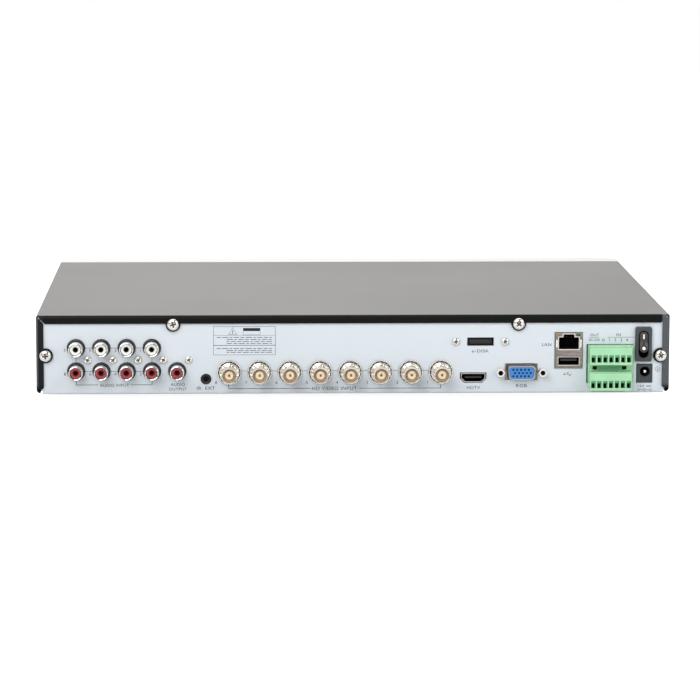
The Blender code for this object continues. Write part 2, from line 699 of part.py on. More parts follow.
def analog_port():
    """The analogue video socket: a flange behind the panel, a D-shaped shell and two standoffs."""
    x, z = ANALOG_PLACE
    flange = block("analog_video_port", (x - 0.0155, BEHIND, z - 0.0062),
                   (x + 0.0155, 0.0120, z + 0.0062), BLUE_PLASTIC)
    shell = outline_prism("join_analog_shell", trapezoid(0.0163, 0.0149, 0.0080, 0.0022), -0.0058,
                          0.0060, None, ANALOG_PLACE, cutter=True)
    mouth = outline_prism("cut_analog_mouth", trapezoid(0.0155, 0.0141, 0.0072, 0.0019), -0.0070,
                          -0.0050, None, ANALOG_PLACE, cutter=True)
    boolean(flange, shell, "UNION")
    boolean(flange, mouth, "DIFFERENCE")
    bm = bmesh.new()
    for side in (-1, 1):
        add_rod(bm, (x + side * 0.0125, z), 0.0019, -0.001, 0.0080, 12)
    boolean(flange, bm_object(bm, "cut_analog_holes", None, cutter=True), "DIFFERENCE")
    for index, side in enumerate((-1, 1)):
        at = (x + side * 0.0125, z)
        hexagon = outline_prism(f"video_standoff_{index + 1}", arc((0, 0), 0.0028, 0, 300, 5),
                                -0.0056, -GAP, NICKEL, at)
        shank = bmesh.new()
        add_rod(shank, at, 0.0015, -0.0010, 0.0068, 12)
        boolean(hexagon, bm_object(shank, "join_standoff", None, cutter=True), "UNION")
        bore = bmesh.new()
        add_rod(bore, at, 0.0013, -0.0080, -0.0014, 12)
        boolean(hexagon, bm_object(bore, "cut_standoff", None, cutter=True), "DIFFERENCE")


def network_port():
    """The network jack over a data port, in one shell that stands on the board."""
    (x0, x1), (z0, z1) = NETWORK_X, NETWORK_Z
    middle = (x0 + x1) / 2
    front = -0.0008
    shell = block("network_data_port", (x0, front, z0), (x1, 0.0205, z1), NICKEL)
    base = block("join_network_base", (x0, BEHIND, SEAT), (x1, 0.0200, z0 + 0.0010), None,
                 cutter=True)
    boolean(shell, base, "UNION")
    bm = bmesh.new()
    add_block(bm, (middle - 0.0059, -0.003, 0.0264), (middle + 0.0059, 0.0145, 0.0334))
    boolean(shell, bm_object(bm, "cut_network_mouth", None, cutter=True), "DIFFERENCE")
    step = block("cut_network_step", (middle - 0.0032, -0.003, 0.0330),
                 (middle + 0.0032, 0.0120, 0.0352), None, cutter=True)
    boolean(shell, step, "DIFFERENCE")
    data = block("cut_data_mouth", (middle - 0.0061, -0.003, 0.0169),
                 (middle + 0.0061, 0.0125, 0.0214), None, cutter=True)
    boolean(shell, data, "DIFFERENCE")
    tongue = block("join_data_tongue", (middle - 0.0050, 0.0012, 0.0190),
                   (middle + 0.0050, 0.0140, 0.0206), None, cutter=True)
    boolean(shell, tongue, "UNION")


def terminal_header():
    """The two-level header that the wire plugs push into."""
    (x0, x1), (z0, z1) = TERMINAL_X, TERMINAL_Z
    header = block("terminal_header", (x0, -0.0030, z0), (x1, 0.0120, z1), GREEN_PLASTIC)
    bm = bmesh.new()
    for base in PLUG_BASES.values():
        add_block(bm, (PLUG_X[0] + 0.0003, -0.005, base + 0.0037),
                  (PLUG_X[1] - 0.0003, 0.0090, base + 0.0097))
    for x in (0.1428, 0.1603):
        add_block(bm, (x - 0.0012, -0.005, 0.0148), (x + 0.0012, 0.0020, 0.0164))
    boolean(header, bm_object(bm, "cut_header", None, cutter=True), "DIFFERENCE")


def terminal_plugs():
    """The two seven-way wire plugs, which pull out towards the user."""
    for name, base in PLUG_BASES.items():
        middle = ((PLUG_X[0] + PLUG_X[1]) / 2, base + PLUG_HEIGHT / 2)
        width = PLUG_X[1] - PLUG_X[0]
        outline = rounded_outline(width, PLUG_HEIGHT, 0.0004, 1)
        plug = outline_prism(name, outline, -PLUG_REACH, -0.0034, GREEN_PLASTIC, middle)
        tongue = block(name + "_tongue", (PLUG_X[0] + 0.0007, -0.0040, base + 0.0041),
                       (PLUG_X[1] - 0.0007, 0.0080, base + 0.0093), None, cutter=True)
        boolean(plug, tongue, "UNION")
        bm = bmesh.new()
        for index in range(7):
            x = 0.1413 + 0.0035 * index
            add_block(bm, (x - 0.00125, -0.014, base + 0.0016), (x + 0.00125, -0.0045, base + 0.0059))
        boolean(plug, bm_object(bm, name + "_wire_holes", None, cutter=True), "DIFFERENCE")


def power_switch():
    """The rocker switch: a bezelled housing and the rocker in its slot."""
    x, z = SWITCH_PLACE
    housing = outline_prism("switch_housing", rounded_outline(0.0099, 0.0208, 0.0012, 3), -0.0023,
                            -GAP, BLACK_PLASTIC, SWITCH_PLACE)
    body = block("join_switch_body", (x - 0.0042, -0.0010, z - 0.0095),
                 (x + 0.0042, 0.0150, z + 0.0095), None, cutter=True)
    slot = outline_prism("cut_switch_slot", rounded_outline(0.0058, 0.0163, 0.00289, 6), -0.004,
                         0.0060, None, (x, z - 0.0002), cutter=True)
    boolean(housing, body, "UNION")
    boolean(housing, slot, "DIFFERENCE")
    power_rocker((x, z))


def power_rocker(place_xz):
    """The rocker about its pivot, swung so that its upper half lies flat and its lower half stands out."""
    pivot_y = 0.0010
    face = 0.0036
    wing = 0.0063
    swing = math.radians(SWITCH_SWING / 2)
    vertex = face / math.cos(swing)
    end_y = vertex + wing * math.sin(swing)
    end_z = wing * math.cos(swing)
    upper = [(-end_y, end_z), (-0.0036, end_z + 0.00015), (0.0005, 0.0054), (0.0025, 0.0042)]
    section = [(-vertex, 0.0), *upper, *[(y, -z) for y, z in reversed(upper)]]
    half = 0.0024
    bm = bmesh.new()
    flat = bm.faces.new([bm.verts.new((-half, y, z)) for y, z in section])
    made = bmesh.ops.extrude_face_region(bm, geom=[flat])["geom"]
    moved = [item for item in made if isinstance(item, bmesh.types.BMVert)]
    bmesh.ops.translate(bm, verts=moved, vec=(2 * half, 0.0, 0.0))
    bmesh.ops.recalc_face_normals(bm, faces=bm.faces[:])
    rocker = bm_object(bm, "power_rocker", BLACK_PLASTIC,
                       (place_xz[0], pivot_y, place_xz[1]))
    rocker.rotation_euler = (-swing, 0.0, 0.0)
    plan = outline_prism("trim_rocker", rounded_outline(2 * half, 0.0132, half - 0.00001, 6), -0.008,
                         0.006, None, (0.0, 0.0), cutter=True)
    plan.parent = rocker
    boolean(rocker, plan, "INTERSECT")


def power_jack():
    """The low-voltage inlet with its centre pin."""
    x, z = POWER_PLACE
    jack = block("power_jack", (x - 0.0045, -0.0005, z - 0.00540), (x + 0.0045, 0.0130, z + 0.00540),
                 BLACK_PLASTIC, 0.0002, 1)
    hole = (x + 0.0003, z + 0.0011)
    bore = [(0.0, 0.0030), (0.00295, 0.0030), (0.00295, -0.0090), (0.0, -0.0090)]
    boolean(jack, turned("cut_inlet", bore, hole, 0.0, None, 20, cutter=True), "DIFFERENCE")
    pin = [(0.0, -0.0006), (0.0007, -0.0006), (0.00105, -0.0012), (0.00105, -0.0100), (0.0, -0.0100)]
    boolean(jack, turned("join_inlet_pin", pin, hole, 0.0, None, 12, cutter=True), "UNION")


# Inside

DRIVE_LOW = (-0.165, 0.1500, 0.0040)
DRIVE_SIZE = (0.147, 0.1016, 0.0261)


def inner_parts():
    """The main board, its heat sink, the disk in its bracket and the leads between them."""
    block("main_board", (-0.176, 0.0020, BOARD_UNDER), (0.180, 0.1300, BOARD_TOP), BOARD_GREEN)
    heat_sink()
    high = [low + size for low, size in zip(DRIVE_LOW, DRIVE_SIZE)]
    block("hard_drive", DRIVE_LOW, high, ALUMINIUM, 0.0012, 2)
    drive_bracket(high)
    drive_cable(high)
    front_ribbon()


def heat_sink():
    """A finned block over the main processor."""
    base, top, fins, pitch = SEAT + 0.0030, 0.0200, 9, 0.0050
    points = [(0.0, SEAT)]
    width = pitch * (fins - 1) + 0.0015
    points.append((width, SEAT))
    for index in reversed(range(fins)):
        left = pitch * index
        points += [(left + 0.0015, top), (left, top)]
        if index:
            points += [(left, base), (left - pitch + 0.0015, base)]
    outline_prism("heat_sink", points, 0.070, 0.110, ALUMINIUM, (0.010, 0.0))


def drive_bracket(high):
    """A U-shaped sheet bracket that holds the disk by its long sides."""
    bm = bmesh.new()
    low_y, high_y = DRIVE_LOW[1] - GAP - SHEET, high[1] + GAP + SHEET
    z = SHEET + GAP
    ends = (DRIVE_LOW[0] + 0.010, high[0] - 0.010)
    section = [(low_y, z + 0.020), (low_y, z), (high_y, z), (high_y, z + 0.020)]
    line = [bm.verts.new((ends[0], y, up)) for y, up in section]
    edges = [bm.edges.new(pair) for pair in zip(line, line[1:])]
    made = bmesh.ops.extrude_edge_only(bm, edges=edges)["geom"]
    moved = [item for item in made if isinstance(item, bmesh.types.BMVert)]
    bmesh.ops.translate(bm, verts=moved, vec=(ends[1] - ends[0], 0.0, 0.0))
    bmesh.ops.recalc_face_normals(bm, faces=bm.faces[:])
    floor = min(bm.faces, key=lambda face: face.calc_center_median().z)
    if floor.normal.z > 0:
        bmesh.ops.reverse_faces(bm, faces=bm.faces[:])
    solidify(bm_object(bm, "drive_bracket", ALUMINIUM))


def lead(name, route, radius, mat):
    """A lead along a smooth route: a poly curve of points read from a cubic through the route."""
    curve = bpy.data.curves.new(name, "CURVE")
    curve.dimensions = "3D"
    curve.bevel_depth = radius
    curve.bevel_resolution = 2
    curve.use_fill_caps = True
    points = smooth_route([Vector(point) for point in route], 6)
    spline = curve.splines.new("POLY")
    spline.points.add(len(points) - 1)
    for point, spot in zip(spline.points, points):
        point.co = (*spot, 1.0)
    obj = bpy.data.objects.new(name, curve)
    obj.parent = DATUM
    PARTS.objects.link(obj)
    curve.materials.append(mat)


def smooth_route(route, steps):
    """Points along a Catmull-Rom curve through the route."""
    padded = [route[0] * 2 - route[1], *route, route[-1] * 2 - route[-2]]
    points = []
    for a, b, c, d in zip(padded, padded[1:], padded[2:], padded[3:]):
        for step in range(steps):
            t = step / steps
            points.append(0.5 * (2 * b + (c - a) * t + (2 * a - 5 * b + 4 * c - d) * t ** 2
                                 + (3 * b - a - 3 * c + d) * t ** 3))
    return [*points, route[-1]]


def drive_cable(high):
    """The disk's lead, from the main board to the end of the disk."""
    end_x = high[0] + 0.0022
    middle_y = DRIVE_LOW[1] + DRIVE_SIZE[1] / 2
    route = [(0.004, 0.118, BOARD_TOP + 0.0022), (0.004, 0.128, 0.014), (0.003, 0.145, 0.020),
             (0.000, 0.170, 0.018), (-0.006, middle_y - 0.012, 0.014),
             (end_x, middle_y - 0.004, 0.012)]
    lead("drive_cable", route, 0.0018, CABLE_GREY)


def front_ribbon():
    """The flat lead from the main board through the front wall to the front board."""
    bm = bmesh.new()
    route = smooth_route([Vector((0.100, 0.122, SEAT + 0.0012)), Vector((0.100, 0.134, 0.0110)),
                          Vector((0.100, 0.150, 0.0060)), Vector((0.100, 0.200, 0.0050)),
                          Vector((0.100, 0.245, 0.0100)), Vector((0.100, 0.2700, 0.0130))], 4)
    line = [bm.verts.new(spot) for spot in route]
    edges = [bm.edges.new(pair) for pair in zip(line, line[1:])]
    made = bmesh.ops.extrude_edge_only(bm, edges=edges)["geom"]
    moved = [item for item in made if isinstance(item, bmesh.types.BMVert)]
    bmesh.ops.translate(bm, verts=moved, vec=(0.016, 0.0, 0.0))
    bmesh.ops.recalc_face_normals(bm, faces=bm.faces[:])
    ribbon = bm_object(bm, "front_ribbon", CABLE_GREY)
    step = ribbon.modifiers.new("thickness", "SOLIDIFY")
    step.thickness = 0.0008
    step.offset = 1.0


def build():
    """Make every piece."""
    chassis_base()
    top_cover()
    front_bezel()
    front_keys()
    front_parts()
    fasteners()
    feet()
    for index in range(5):
        rca_block(index)
    for index in range(8):
        bnc_socket(index)
    remote_jack()
    disk_link()
    digital_port()
    analog_port()
    network_port()
    terminal_header()
    terminal_plugs()
    power_switch()
    power_jack()
    inner_parts()


build()
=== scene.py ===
import math

import bmesh
import bpy
import numpy as np
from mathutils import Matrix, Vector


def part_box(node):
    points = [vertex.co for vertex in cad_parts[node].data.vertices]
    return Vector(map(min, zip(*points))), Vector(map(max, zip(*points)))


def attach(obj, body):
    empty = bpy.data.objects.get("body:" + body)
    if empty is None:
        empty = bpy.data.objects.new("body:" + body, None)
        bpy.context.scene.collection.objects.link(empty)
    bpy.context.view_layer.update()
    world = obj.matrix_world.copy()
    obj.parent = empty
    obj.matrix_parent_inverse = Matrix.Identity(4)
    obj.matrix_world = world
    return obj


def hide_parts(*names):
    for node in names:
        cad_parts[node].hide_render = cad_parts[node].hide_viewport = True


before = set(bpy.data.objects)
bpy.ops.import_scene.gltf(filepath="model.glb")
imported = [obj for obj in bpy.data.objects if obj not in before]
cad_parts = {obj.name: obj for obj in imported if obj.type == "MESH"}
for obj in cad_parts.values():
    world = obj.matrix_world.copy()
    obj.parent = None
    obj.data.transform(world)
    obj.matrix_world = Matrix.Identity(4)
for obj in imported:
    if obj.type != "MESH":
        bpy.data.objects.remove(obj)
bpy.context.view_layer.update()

# A desktop video recorder: its connector panel faces -Y, its keys face +Y, and it stands on Z = 0.

CASE_LOW, CASE_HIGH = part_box("chassis_base")
FACE = CASE_LOW.y
UNDER = CASE_LOW.z
FRONT_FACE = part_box("front_bezel")[1].y
TAU = 2 * math.pi

# Ways to face: the rows are across, up and out
REAR = np.array([[1.0, 0, 0], [0, 0, 1], [0, -1, 0]])
FRONT = np.array([[-1.0, 0, 0], [0, 0, 1], [0, 1, 0]])
ABOVE = np.array([[1.0, 0, 0], [0, 1, 0], [0, 0, 1]])
BELOW = np.array([[1.0, 0, 0], [0, 1, 0], [0, 0, -1]])
LEFT = np.array([[0, -1.0, 0], [0, 0, 1], [-1, 0, 0]])
RIGHT = np.array([[0, 1.0, 0], [0, 0, 1], [1, 0, 0]])


# Materials

class Wire:
    """A socket of a material's nodes; arithmetic on it adds Math nodes."""

    def __init__(self, tree, socket=None):
        self.tree = tree
        self.socket = socket

    def node(self, kind, settings=None, values=None, take=0):
        """Add a node: its settings first, then its sockets' values or links by name or number; give one output."""
        made = self.tree.nodes.new("ShaderNode" + kind)
        for name, value in (settings or {}).items():
            setattr(made, name, value)
        for key, value in (values or {}).items():
            if isinstance(value, Wire):
                self.tree.links.new(value.socket, made.inputs[key])
            else:
                made.inputs[key].default_value = value
        return Wire(self.tree, made.outputs[take])

    def maths(self, operation, *terms):
        """A Math node on the terms."""
        return self.node("Math", {"operation": operation}, dict(enumerate(terms)))

    def __add__(self, other):
        return self.maths("ADD", self, other)

    def __sub__(self, other):
        return self.maths("SUBTRACT", self, other)

    def __rsub__(self, other):
        return self.maths("SUBTRACT", other, self)

    def __mul__(self, other):
        return self.maths("MULTIPLY", self, other)

    __radd__ = __add__
    __rmul__ = __mul__

    def between(self, low, high, first=0.0, last=1.0):
        """Run from first to last as this goes from low to high, and no further."""
        return self.node("MapRange", None, {0: self, 1: low, 2: high, 3: first, 4: last})

    def mix(self, first, second):
        """The first colour where this is 0 and the second where it is 1."""
        return self.node("Mix", {"data_type": "RGBA"}, {0: self, 6: first, 7: second}, 2)

    def noise(self, spot, scale, detail=2.0, rough=0.5):
        """Soft noise at a place, from about 0.25 to 0.75."""
        return self.node("TexNoise", None, {"Vector": spot, "Scale": scale, "Detail": detail, "Roughness": rough})


def tone(colour, factor):
    """A colour times a number, as a socket's four numbers."""
    return (*[min(1.0, channel * factor) for channel in colour], 1.0)


LOOKS = {}


def finish(name, slot, colour, roughness, tint=0.10, patch=40.0, grain=1800.0, depth=0.00001, spread=0.10,
           squeeze=(1.0, 1.0, 1.0), shade=None, **constants):
    """A finish: tone (1 +- tint) by broad patches, roughness +- spread and a bump of a depth by fine grain.

    squeeze stretches the grain along an axis, as brushing does, and shade(wire, spot, colour) reworks the colour.
    """
    made = bpy.data.materials.new(name)
    made.use_nodes = True
    tree = made.node_tree
    surface = tree.nodes["Principled BSDF"]
    wire = Wire(tree)
    spot = wire.node("TexCoord", take=3)
    drawn = wire.node("Mapping", None, {"Vector": spot, "Scale": squeeze})
    patches = wire.noise(spot, patch, 3.0)
    fine = wire.noise(drawn, grain, 3.0, 0.6)
    base = patches.between(0.3, 0.7).mix(tone(colour, 1 - tint), tone(colour, 1 + tint))
    if shade:
        base = shade(wire, spot, base)
    rough = roughness + spread * (fine * 0.6 + patches * 0.4 - 0.5)
    bump = wire.node("Bump", None, {"Strength": 0.6, "Distance": depth, "Height": fine})
    for key, value in (("Base Color", base), ("Roughness", rough), ("Normal", bump)):
        tree.links.new(value.socket, surface.inputs[key])
    for key, value in constants.items():
        surface.inputs[key.replace("_", " ")].default_value = value
    LOOKS[name] = made


def panel_low_shade(wire, spot, base):
    """Painted shade: the panel is a little darker in its lowest 12 mm, towards its fold."""
    height = wire.node("SeparateXYZ", None, {0: spot}, 2)
    low = height.between(UNDER, UNDER + 0.012, 1.0, 0.0)
    return (low * 0.08).mix(base, (0.40, 0.42, 0.45, 1.0))


def brushed(wire, spot, base):
    """Drawn steel: streaks along X that darken the tone by up to a third."""
    drawn = wire.node("Mapping", None, {"Vector": spot, "Scale": (0.04, 1.0, 1.0)})
    streak = wire.noise(drawn, 1500.0, 2.0).between(0.35, 0.65)
    return (streak * 0.5).mix(base, (0.12, 0.105, 0.095, 1.0))


def sheen_painted_edges(wire, spot, base):
    """Painted sheen: the cover's rear lips are paler over the hem, the whole lip at the right, its outer edge at
    the left.
    """
    place = [wire.node("SeparateXYZ", None, {0: spot}, axis) for axis in range(3)]
    right = place[0].between(0.1826, 0.1833)
    left = place[0].between(-0.1866, -0.1860, 1.0, 0.08)
    rear = place[1].between(FACE + 0.0004, FACE + 0.0012, 1.0, 0.0)
    above = place[2].between(UNDER + 0.0034, UNDER + 0.0060)
    side = right + left * place[0].between(-0.1832, -0.1826, 1.0, 0.0)
    # The pale colour mixed in here is painted sheen where the lips catch light.
    return (side * rear * above).mix(base, (0.085, 0.095, 0.108, 1.0))


def make_finishes():
    """Every finish of the recorder."""
    finish("cover_paint", "cover_paint", (0.0045, 0.0047, 0.0050), 0.34, tint=0.12, patch=9.0, grain=2600.0,
           depth=0.000014, spread=0.12, shade=sheen_painted_edges, Specular_IOR_Level=0.11)
    finish("panel_paint", "panel_paint", (0.63, 0.685, 0.74), 0.42, tint=0.012, patch=16.0, grain=2200.0,
           depth=0.000006, spread=0.06, shade=panel_low_shade)
    finish("bezel_plastic", "bezel_plastic", (0.022, 0.022, 0.024), 0.22, grain=3000.0, depth=0.000004,
           Coat_Weight=0.35)
    finish("black_moulding", "black_plastic", (0.010, 0.010, 0.011), 0.38)
    finish("grey_moulding", "black_plastic", (0.036, 0.044, 0.050), 0.42)
    finish("rocker_moulding", "black_plastic", (0.036, 0.030, 0.032), 0.24, grain=2200.0, depth=0.000006)
    # Near black: the disk link's shroud, and painted shade in holes, gaps, bores and wells elsewhere.
    finish("cavity", "black_plastic", (0.004, 0.004, 0.004), 0.65, grain=1200.0, Specular_IOR_Level=0.15)
    finish("tongue", "black_plastic", (0.020, 0.020, 0.026), 0.40)
    finish("key_plastic", "key_plastic", (0.070, 0.071, 0.075), 0.36, grain=2200.0)
    finish("green_moulding", "green_plastic", (0.35, 0.665, 0.40), 0.42, tint=0.05, patch=90.0, grain=1600.0)
    # Darker greens below: painted shade of the same plastic on the web, the edge lines and in the wire entries.
    finish("green_web_shade", "green_plastic", (0.16, 0.47, 0.22), 0.48, tint=0.08, patch=120.0, grain=1600.0)
    # Painted shade in the wire entries: the ramps in a darker green, the linings in a near-black green.
    finish("green_ramp_shade", "green_plastic", (0.12, 0.40, 0.18), 0.48, patch=300.0, grain=1600.0)
    finish("green_hollow_shade", "green_plastic", (0.003, 0.066, 0.018), 0.60, patch=120.0, grain=1600.0,
           Specular_IOR_Level=0.2)
    finish("blue_moulding", "blue_plastic", (0.040, 0.22, 0.60), 0.38, tint=0.05, grain=1600.0)
    # Painted shade in the holes of the analogue socket.
    finish("blue_hole_shade", "blue_plastic", (0.003, 0.014, 0.045), 0.50, grain=1600.0, Specular_IOR_Level=0.2)
    finish("nickel", "nickel", (0.86, 0.84, 0.80), 0.13, tint=0.05, patch=500.0, grain=2400.0, spread=0.06,
           Metallic=1.0)
    finish("warm_nickel", "nickel", (0.88, 0.83, 0.76), 0.20, patch=420.0, grain=2200.0, Metallic=1.0)
    # Painted shade in the screw recesses and the stake pits.
    finish("pit_shade_steel", "nickel", (0.115, 0.10, 0.085), 0.40, tint=0.15, patch=500.0, grain=2000.0,
           Metallic=0.6)
    finish("shell_steel", "nickel", (0.37, 0.33, 0.31), 0.30, tint=0.16, patch=240.0, grain=900.0,
           squeeze=(0.5, 1.0, 12.0), depth=0.00002, shade=brushed, Metallic=1.0)
    finish("insulator", "nickel", (0.80, 0.64, 0.45), 0.42, tint=0.06, patch=500.0, grain=2000.0)
    # A darker copy of the insulator's colour: painted shade.
    finish("insulator_shade", "nickel", (0.36, 0.275, 0.19), 0.50, tint=0.14, patch=500.0, grain=2000.0)
    finish("contact", "nickel", (0.80, 0.58, 0.26), 0.28, tint=0.08, patch=600.0, grain=2400.0, Metallic=1.0)
    # A darker copy of the contact colour: painted shade.
    finish("contact_shade", "nickel", (0.10, 0.060, 0.020), 0.40, patch=600.0, grain=2400.0)
    # A painted shadow under the bayonet washers.
    finish("washer_shadow", "black_plastic", (0.016, 0.012, 0.008), 0.60, tint=0.20, patch=500.0, Specular_IOR_Level=0.2)
    finish("white_insert", "black_plastic", (0.86, 0.86, 0.83), 0.36, tint=0.03, patch=300.0)
    finish("red_insert", "black_plastic", (0.35, 0.062, 0.072), 0.36, tint=0.08, patch=300.0)
    # A dark red for the cups of the red inserts: painted shade.
    finish("red_shade", "black_plastic", (0.085, 0.009, 0.011), 0.50, patch=300.0, Specular_IOR_Level=0.2)
    finish("ink", "panel_paint", (0.020, 0.023, 0.028), 0.65, tint=0.15, patch=800.0, grain=3000.0,
           depth=0.000002, Specular_IOR_Level=0.2)
    finish("pale_ink", "key_plastic", (0.86, 0.86, 0.84), 0.45, tint=0.03, patch=800.0, grain=3000.0,
           depth=0.000002)
    finish("rubber", "rubber", (0.018, 0.018, 0.018), 0.78, grain=900.0, depth=0.00003)
    finish("board", "board_green", (0.020, 0.12, 0.045), 0.45, tint=0.20, patch=120.0, grain=700.0)
    finish("aluminium", "aluminium", (0.66, 0.67, 0.68), 0.36, tint=0.06, grain=1200.0, squeeze=(0.06, 1.0, 1.0),
           Metallic=1.0)
    finish("cable_grey", "cable_grey", (0.28, 0.28, 0.30), 0.52, grain=1400.0)
    finish("smoked_window", "smoked_window", (0.020, 0.006, 0.009), 0.08, grain=900.0, depth=0.000002,
           Coat_Weight=0.5)
    finish("amber_lens", "nickel", (0.30, 0.19, 0.045), 0.30, grain=1200.0)
    finish("green_lens", "nickel", (0.045, 0.10, 0.040), 0.30, grain=1200.0)


# Shapes: each is (points, corners of its faces in a row, corners per face)

def rings(outlines, reaches, at, way=REAR, loop=False, relief=None):
    """A skin over rings: point (i, j) is at + u across + v up + w out, (u, v) outline i's point j, w reach i.

    relief(u, v, w) is taken off w. The ends are closed flat, or on each other with loop.
    """
    flat = np.array(outlines, float)
    rows, columns = flat.shape[:2]
    out = np.repeat(np.array(reaches, float)[:, None], columns, axis=1)
    if relief:
        out = out - relief(flat[..., 0], flat[..., 1], out)
    points = np.concatenate([flat, out[..., None]], axis=-1) @ way + np.array(at)
    row = np.arange(rows if loop else rows - 1)[:, None]
    column = np.arange(columns)[None, :]
    ahead = (row + 1) % rows
    after = (column + 1) % columns
    quads = np.stack([row * columns + column, row * columns + after, ahead * columns + after,
                      ahead * columns + column], axis=-1)
    corners = quads.ravel()
    counts = np.full(len(corners) // 4, 4)
    if not loop:
        first = np.arange(columns)
        corners = np.concatenate([corners, first[::-1], first + (rows - 1) * columns])
        counts = np.append(counts, [columns, columns])
    return points.reshape(-1, 3), corners, counts


def carried(outline, path, at, way=REAR, loop=False, relief=None):
    """Rings of one outline: at each (inset, reach) of the path the outline times (1 - inset / its half size)."""
    path = np.array(path, float)
    half = np.abs(outline).max(axis=0)
    return rings(outline * (1 - path[:, 0, None, None] / half), path[:, 1], at, way, loop, relief)


def circle(radius, sides=40):
    """Points r (cos a, sin a), a = 2 pi j / sides."""
    angle = np.arange(sides) * TAU / sides
    return radius * np.stack([np.cos(angle), np.sin(angle)], axis=-1)


def round_rect(width, height, radius, steps=5):
    """Four arcs c + r (cos a, sin a), each a quarter turn on from the last."""
    angle = np.arange(4)[:, None] * TAU / 4 + np.linspace(0, TAU / 4, steps + 1)[None, :]
    corner = np.array([[1, 1], [-1, 1], [-1, -1], [1, -1]])[:, None]
    centre = corner * (np.array([width, height]) / 2 - radius)
    return (centre + radius * np.stack([np.cos(angle), np.sin(angle)], axis=-1)).reshape(-1, 2)


def eased(corners, radius, steps=4):
    """Corner p becomes p + b (1 - t)^2 + a t^2, b and a reaching the radius back and on along its sides."""
    corner = np.array(corners, float)
    back = np.roll(corner, 1, axis=0) - corner
    onward = np.roll(corner, -1, axis=0) - corner
    back *= radius / np.linalg.norm(back, axis=1, keepdims=True)
    onward *= radius / np.linalg.norm(onward, axis=1, keepdims=True)
    t = np.linspace(0, 1, steps + 1)[None, :, None]
    return (corner[:, None] + back[:, None] * (1 - t) ** 2 + onward[:, None] * t ** 2).reshape(-1, 2)


def as_circle(outline, radius):
    """Each point of an outline drawn to one radius: r p / |p|."""
    return radius * outline / np.linalg.norm(outline, axis=1, keepdims=True)


def bar(low, high, soft=0.0001):
    """A block between two corners with its edges eased."""
    low = np.array(low, float)
    size = np.array(high, float) - low
    soft = min(soft, size.min() * 0.3)
    path = [(soft, 0), (0, soft), (0, size[2] - soft), (soft, size[2])]
    at = low + size * np.array([0.5, 0.5, 0.0])
    return carried(round_rect(size[0], size[1], soft, 2), path, at, ABOVE)


def join(*shapes):
    """Several shapes as one: each one's corners count on from the points before it."""
    points, corners, counts = zip(*shapes)
    starts = np.cumsum([0] + [len(one) for one in points[:-1]])
    corners = [one + start for one, start in zip(corners, starts)]
    return np.concatenate(points), np.concatenate(corners), np.concatenate(counts)


def piece(name, shape, look, body="recorder", stands_for=(), crease=35):
    """Put a shape into a mesh with its faces outward, in a finish, riding on a body."""
    points, corners, counts = shape
    mesh = bpy.data.meshes.new(name)
    mesh.vertices.add(len(points))
    mesh.vertices.foreach_set("co", points.astype(np.float32).ravel())
    mesh.loops.add(len(corners))
    mesh.loops.foreach_set("vertex_index", corners.astype(np.int32))
    mesh.polygons.add(len(counts))
    mesh.polygons.foreach_set("loop_start", (np.cumsum(counts) - counts).astype(np.int32))
    mesh.update(calc_edges=True)
    bm = bmesh.new()
    bm.from_mesh(mesh)
    bmesh.ops.recalc_face_normals(bm, faces=bm.faces[:])
    bm.to_mesh(mesh)
    bm.free()
    mesh.shade_smooth()
    mesh.set_sharp_from_angle(angle=math.radians(crease))
    mesh.materials.append(LOOKS[look])
    made = bpy.data.objects.new(name, mesh)
    bpy.context.scene.collection.objects.link(made)
    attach(made, body)
    if stands_for:
        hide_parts(*stands_for)
    return made


def dress(look, *nodes, ease=0.0):
    """Give CAD nodes a finish, with their edges eased where an ease is given."""
    for name in nodes:
        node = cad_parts[name]
        for place in node.material_slots:
            place.material = LOOKS[look]
        if ease:
            weld = node.modifiers.new("weld", "WELD")
            weld.merge_threshold = 0.00001
            bevel = node.modifiers.new("ease", "BEVEL")
            bevel.width = ease
            bevel.segments = 2
            bevel.limit_method = "ANGLE"
            bevel.angle_limit = math.radians(40)


def spot_on(x, z, reach=0.0):
    """A place on the connector panel: x from its middle, z over the case's underside, reach towards the user."""
    return np.array([x, FACE - reach, UNDER + z])


def slab(span_x, span_z, span_reach, soft=0.0001):
    """A block on the connector panel between two x, two heights and two reaches."""
    low = spot_on(span_x[0], span_z[0], max(span_reach))
    high = spot_on(span_x[1], span_z[1], min(span_reach))
    return bar(low, high, soft)


def about(centre, half):
    """The span a half width to each side of a centre."""
    return centre - half, centre + half


def middle(node):
    """A node's middle and its low and high corners, as arrays."""
    low, high = (np.array(corner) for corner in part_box(node))
    return (low + high) / 2, low, high


# Screws

def cross_recess(reach, width, depth, turn, above):
    """A cross cut into a head: depth where |u| < reach and |v| < width or the other way about, fading outwards."""
    def relief(u, v, w):
        p = u * math.cos(turn) + v * math.sin(turn)
        q = v * math.cos(turn) - u * math.sin(turn)
        along = np.maximum(abs(p) / reach, abs(q) / width)
        across = np.maximum(abs(q) / reach, abs(p) / width)
        inside = np.clip((1.12 - np.minimum(along, across)) / 0.24, 0, 1)
        slope = 1 - 0.55 * np.hypot(p, q) / reach
        return np.where(w > above, depth * inside * slope, 0)
    return relief


def pan_head(at, radius, height, turn, way=REAR, shank=0.0, length=0.0):
    """A pan head: reach h sqrt(1 - 0.75 (r / R)^4) with a cross recess, on its shank."""
    share = np.linspace(0.03, 1.0, 26)
    dome = [(radius * (1 - s), height * math.sqrt(1 - 0.75 * s ** 4)) for s in share]
    path = dome + [(0.0, height * 0.12), (radius * 0.03, 0.0)]
    if shank:
        path += [(radius - shank, 0.0), (radius - shank, -length)]
    recess = cross_recess(radius * 0.52, radius * 0.14, height * 0.66, turn, height * 0.3)
    return carried(circle(radius, 72), path, at, way, relief=recess)


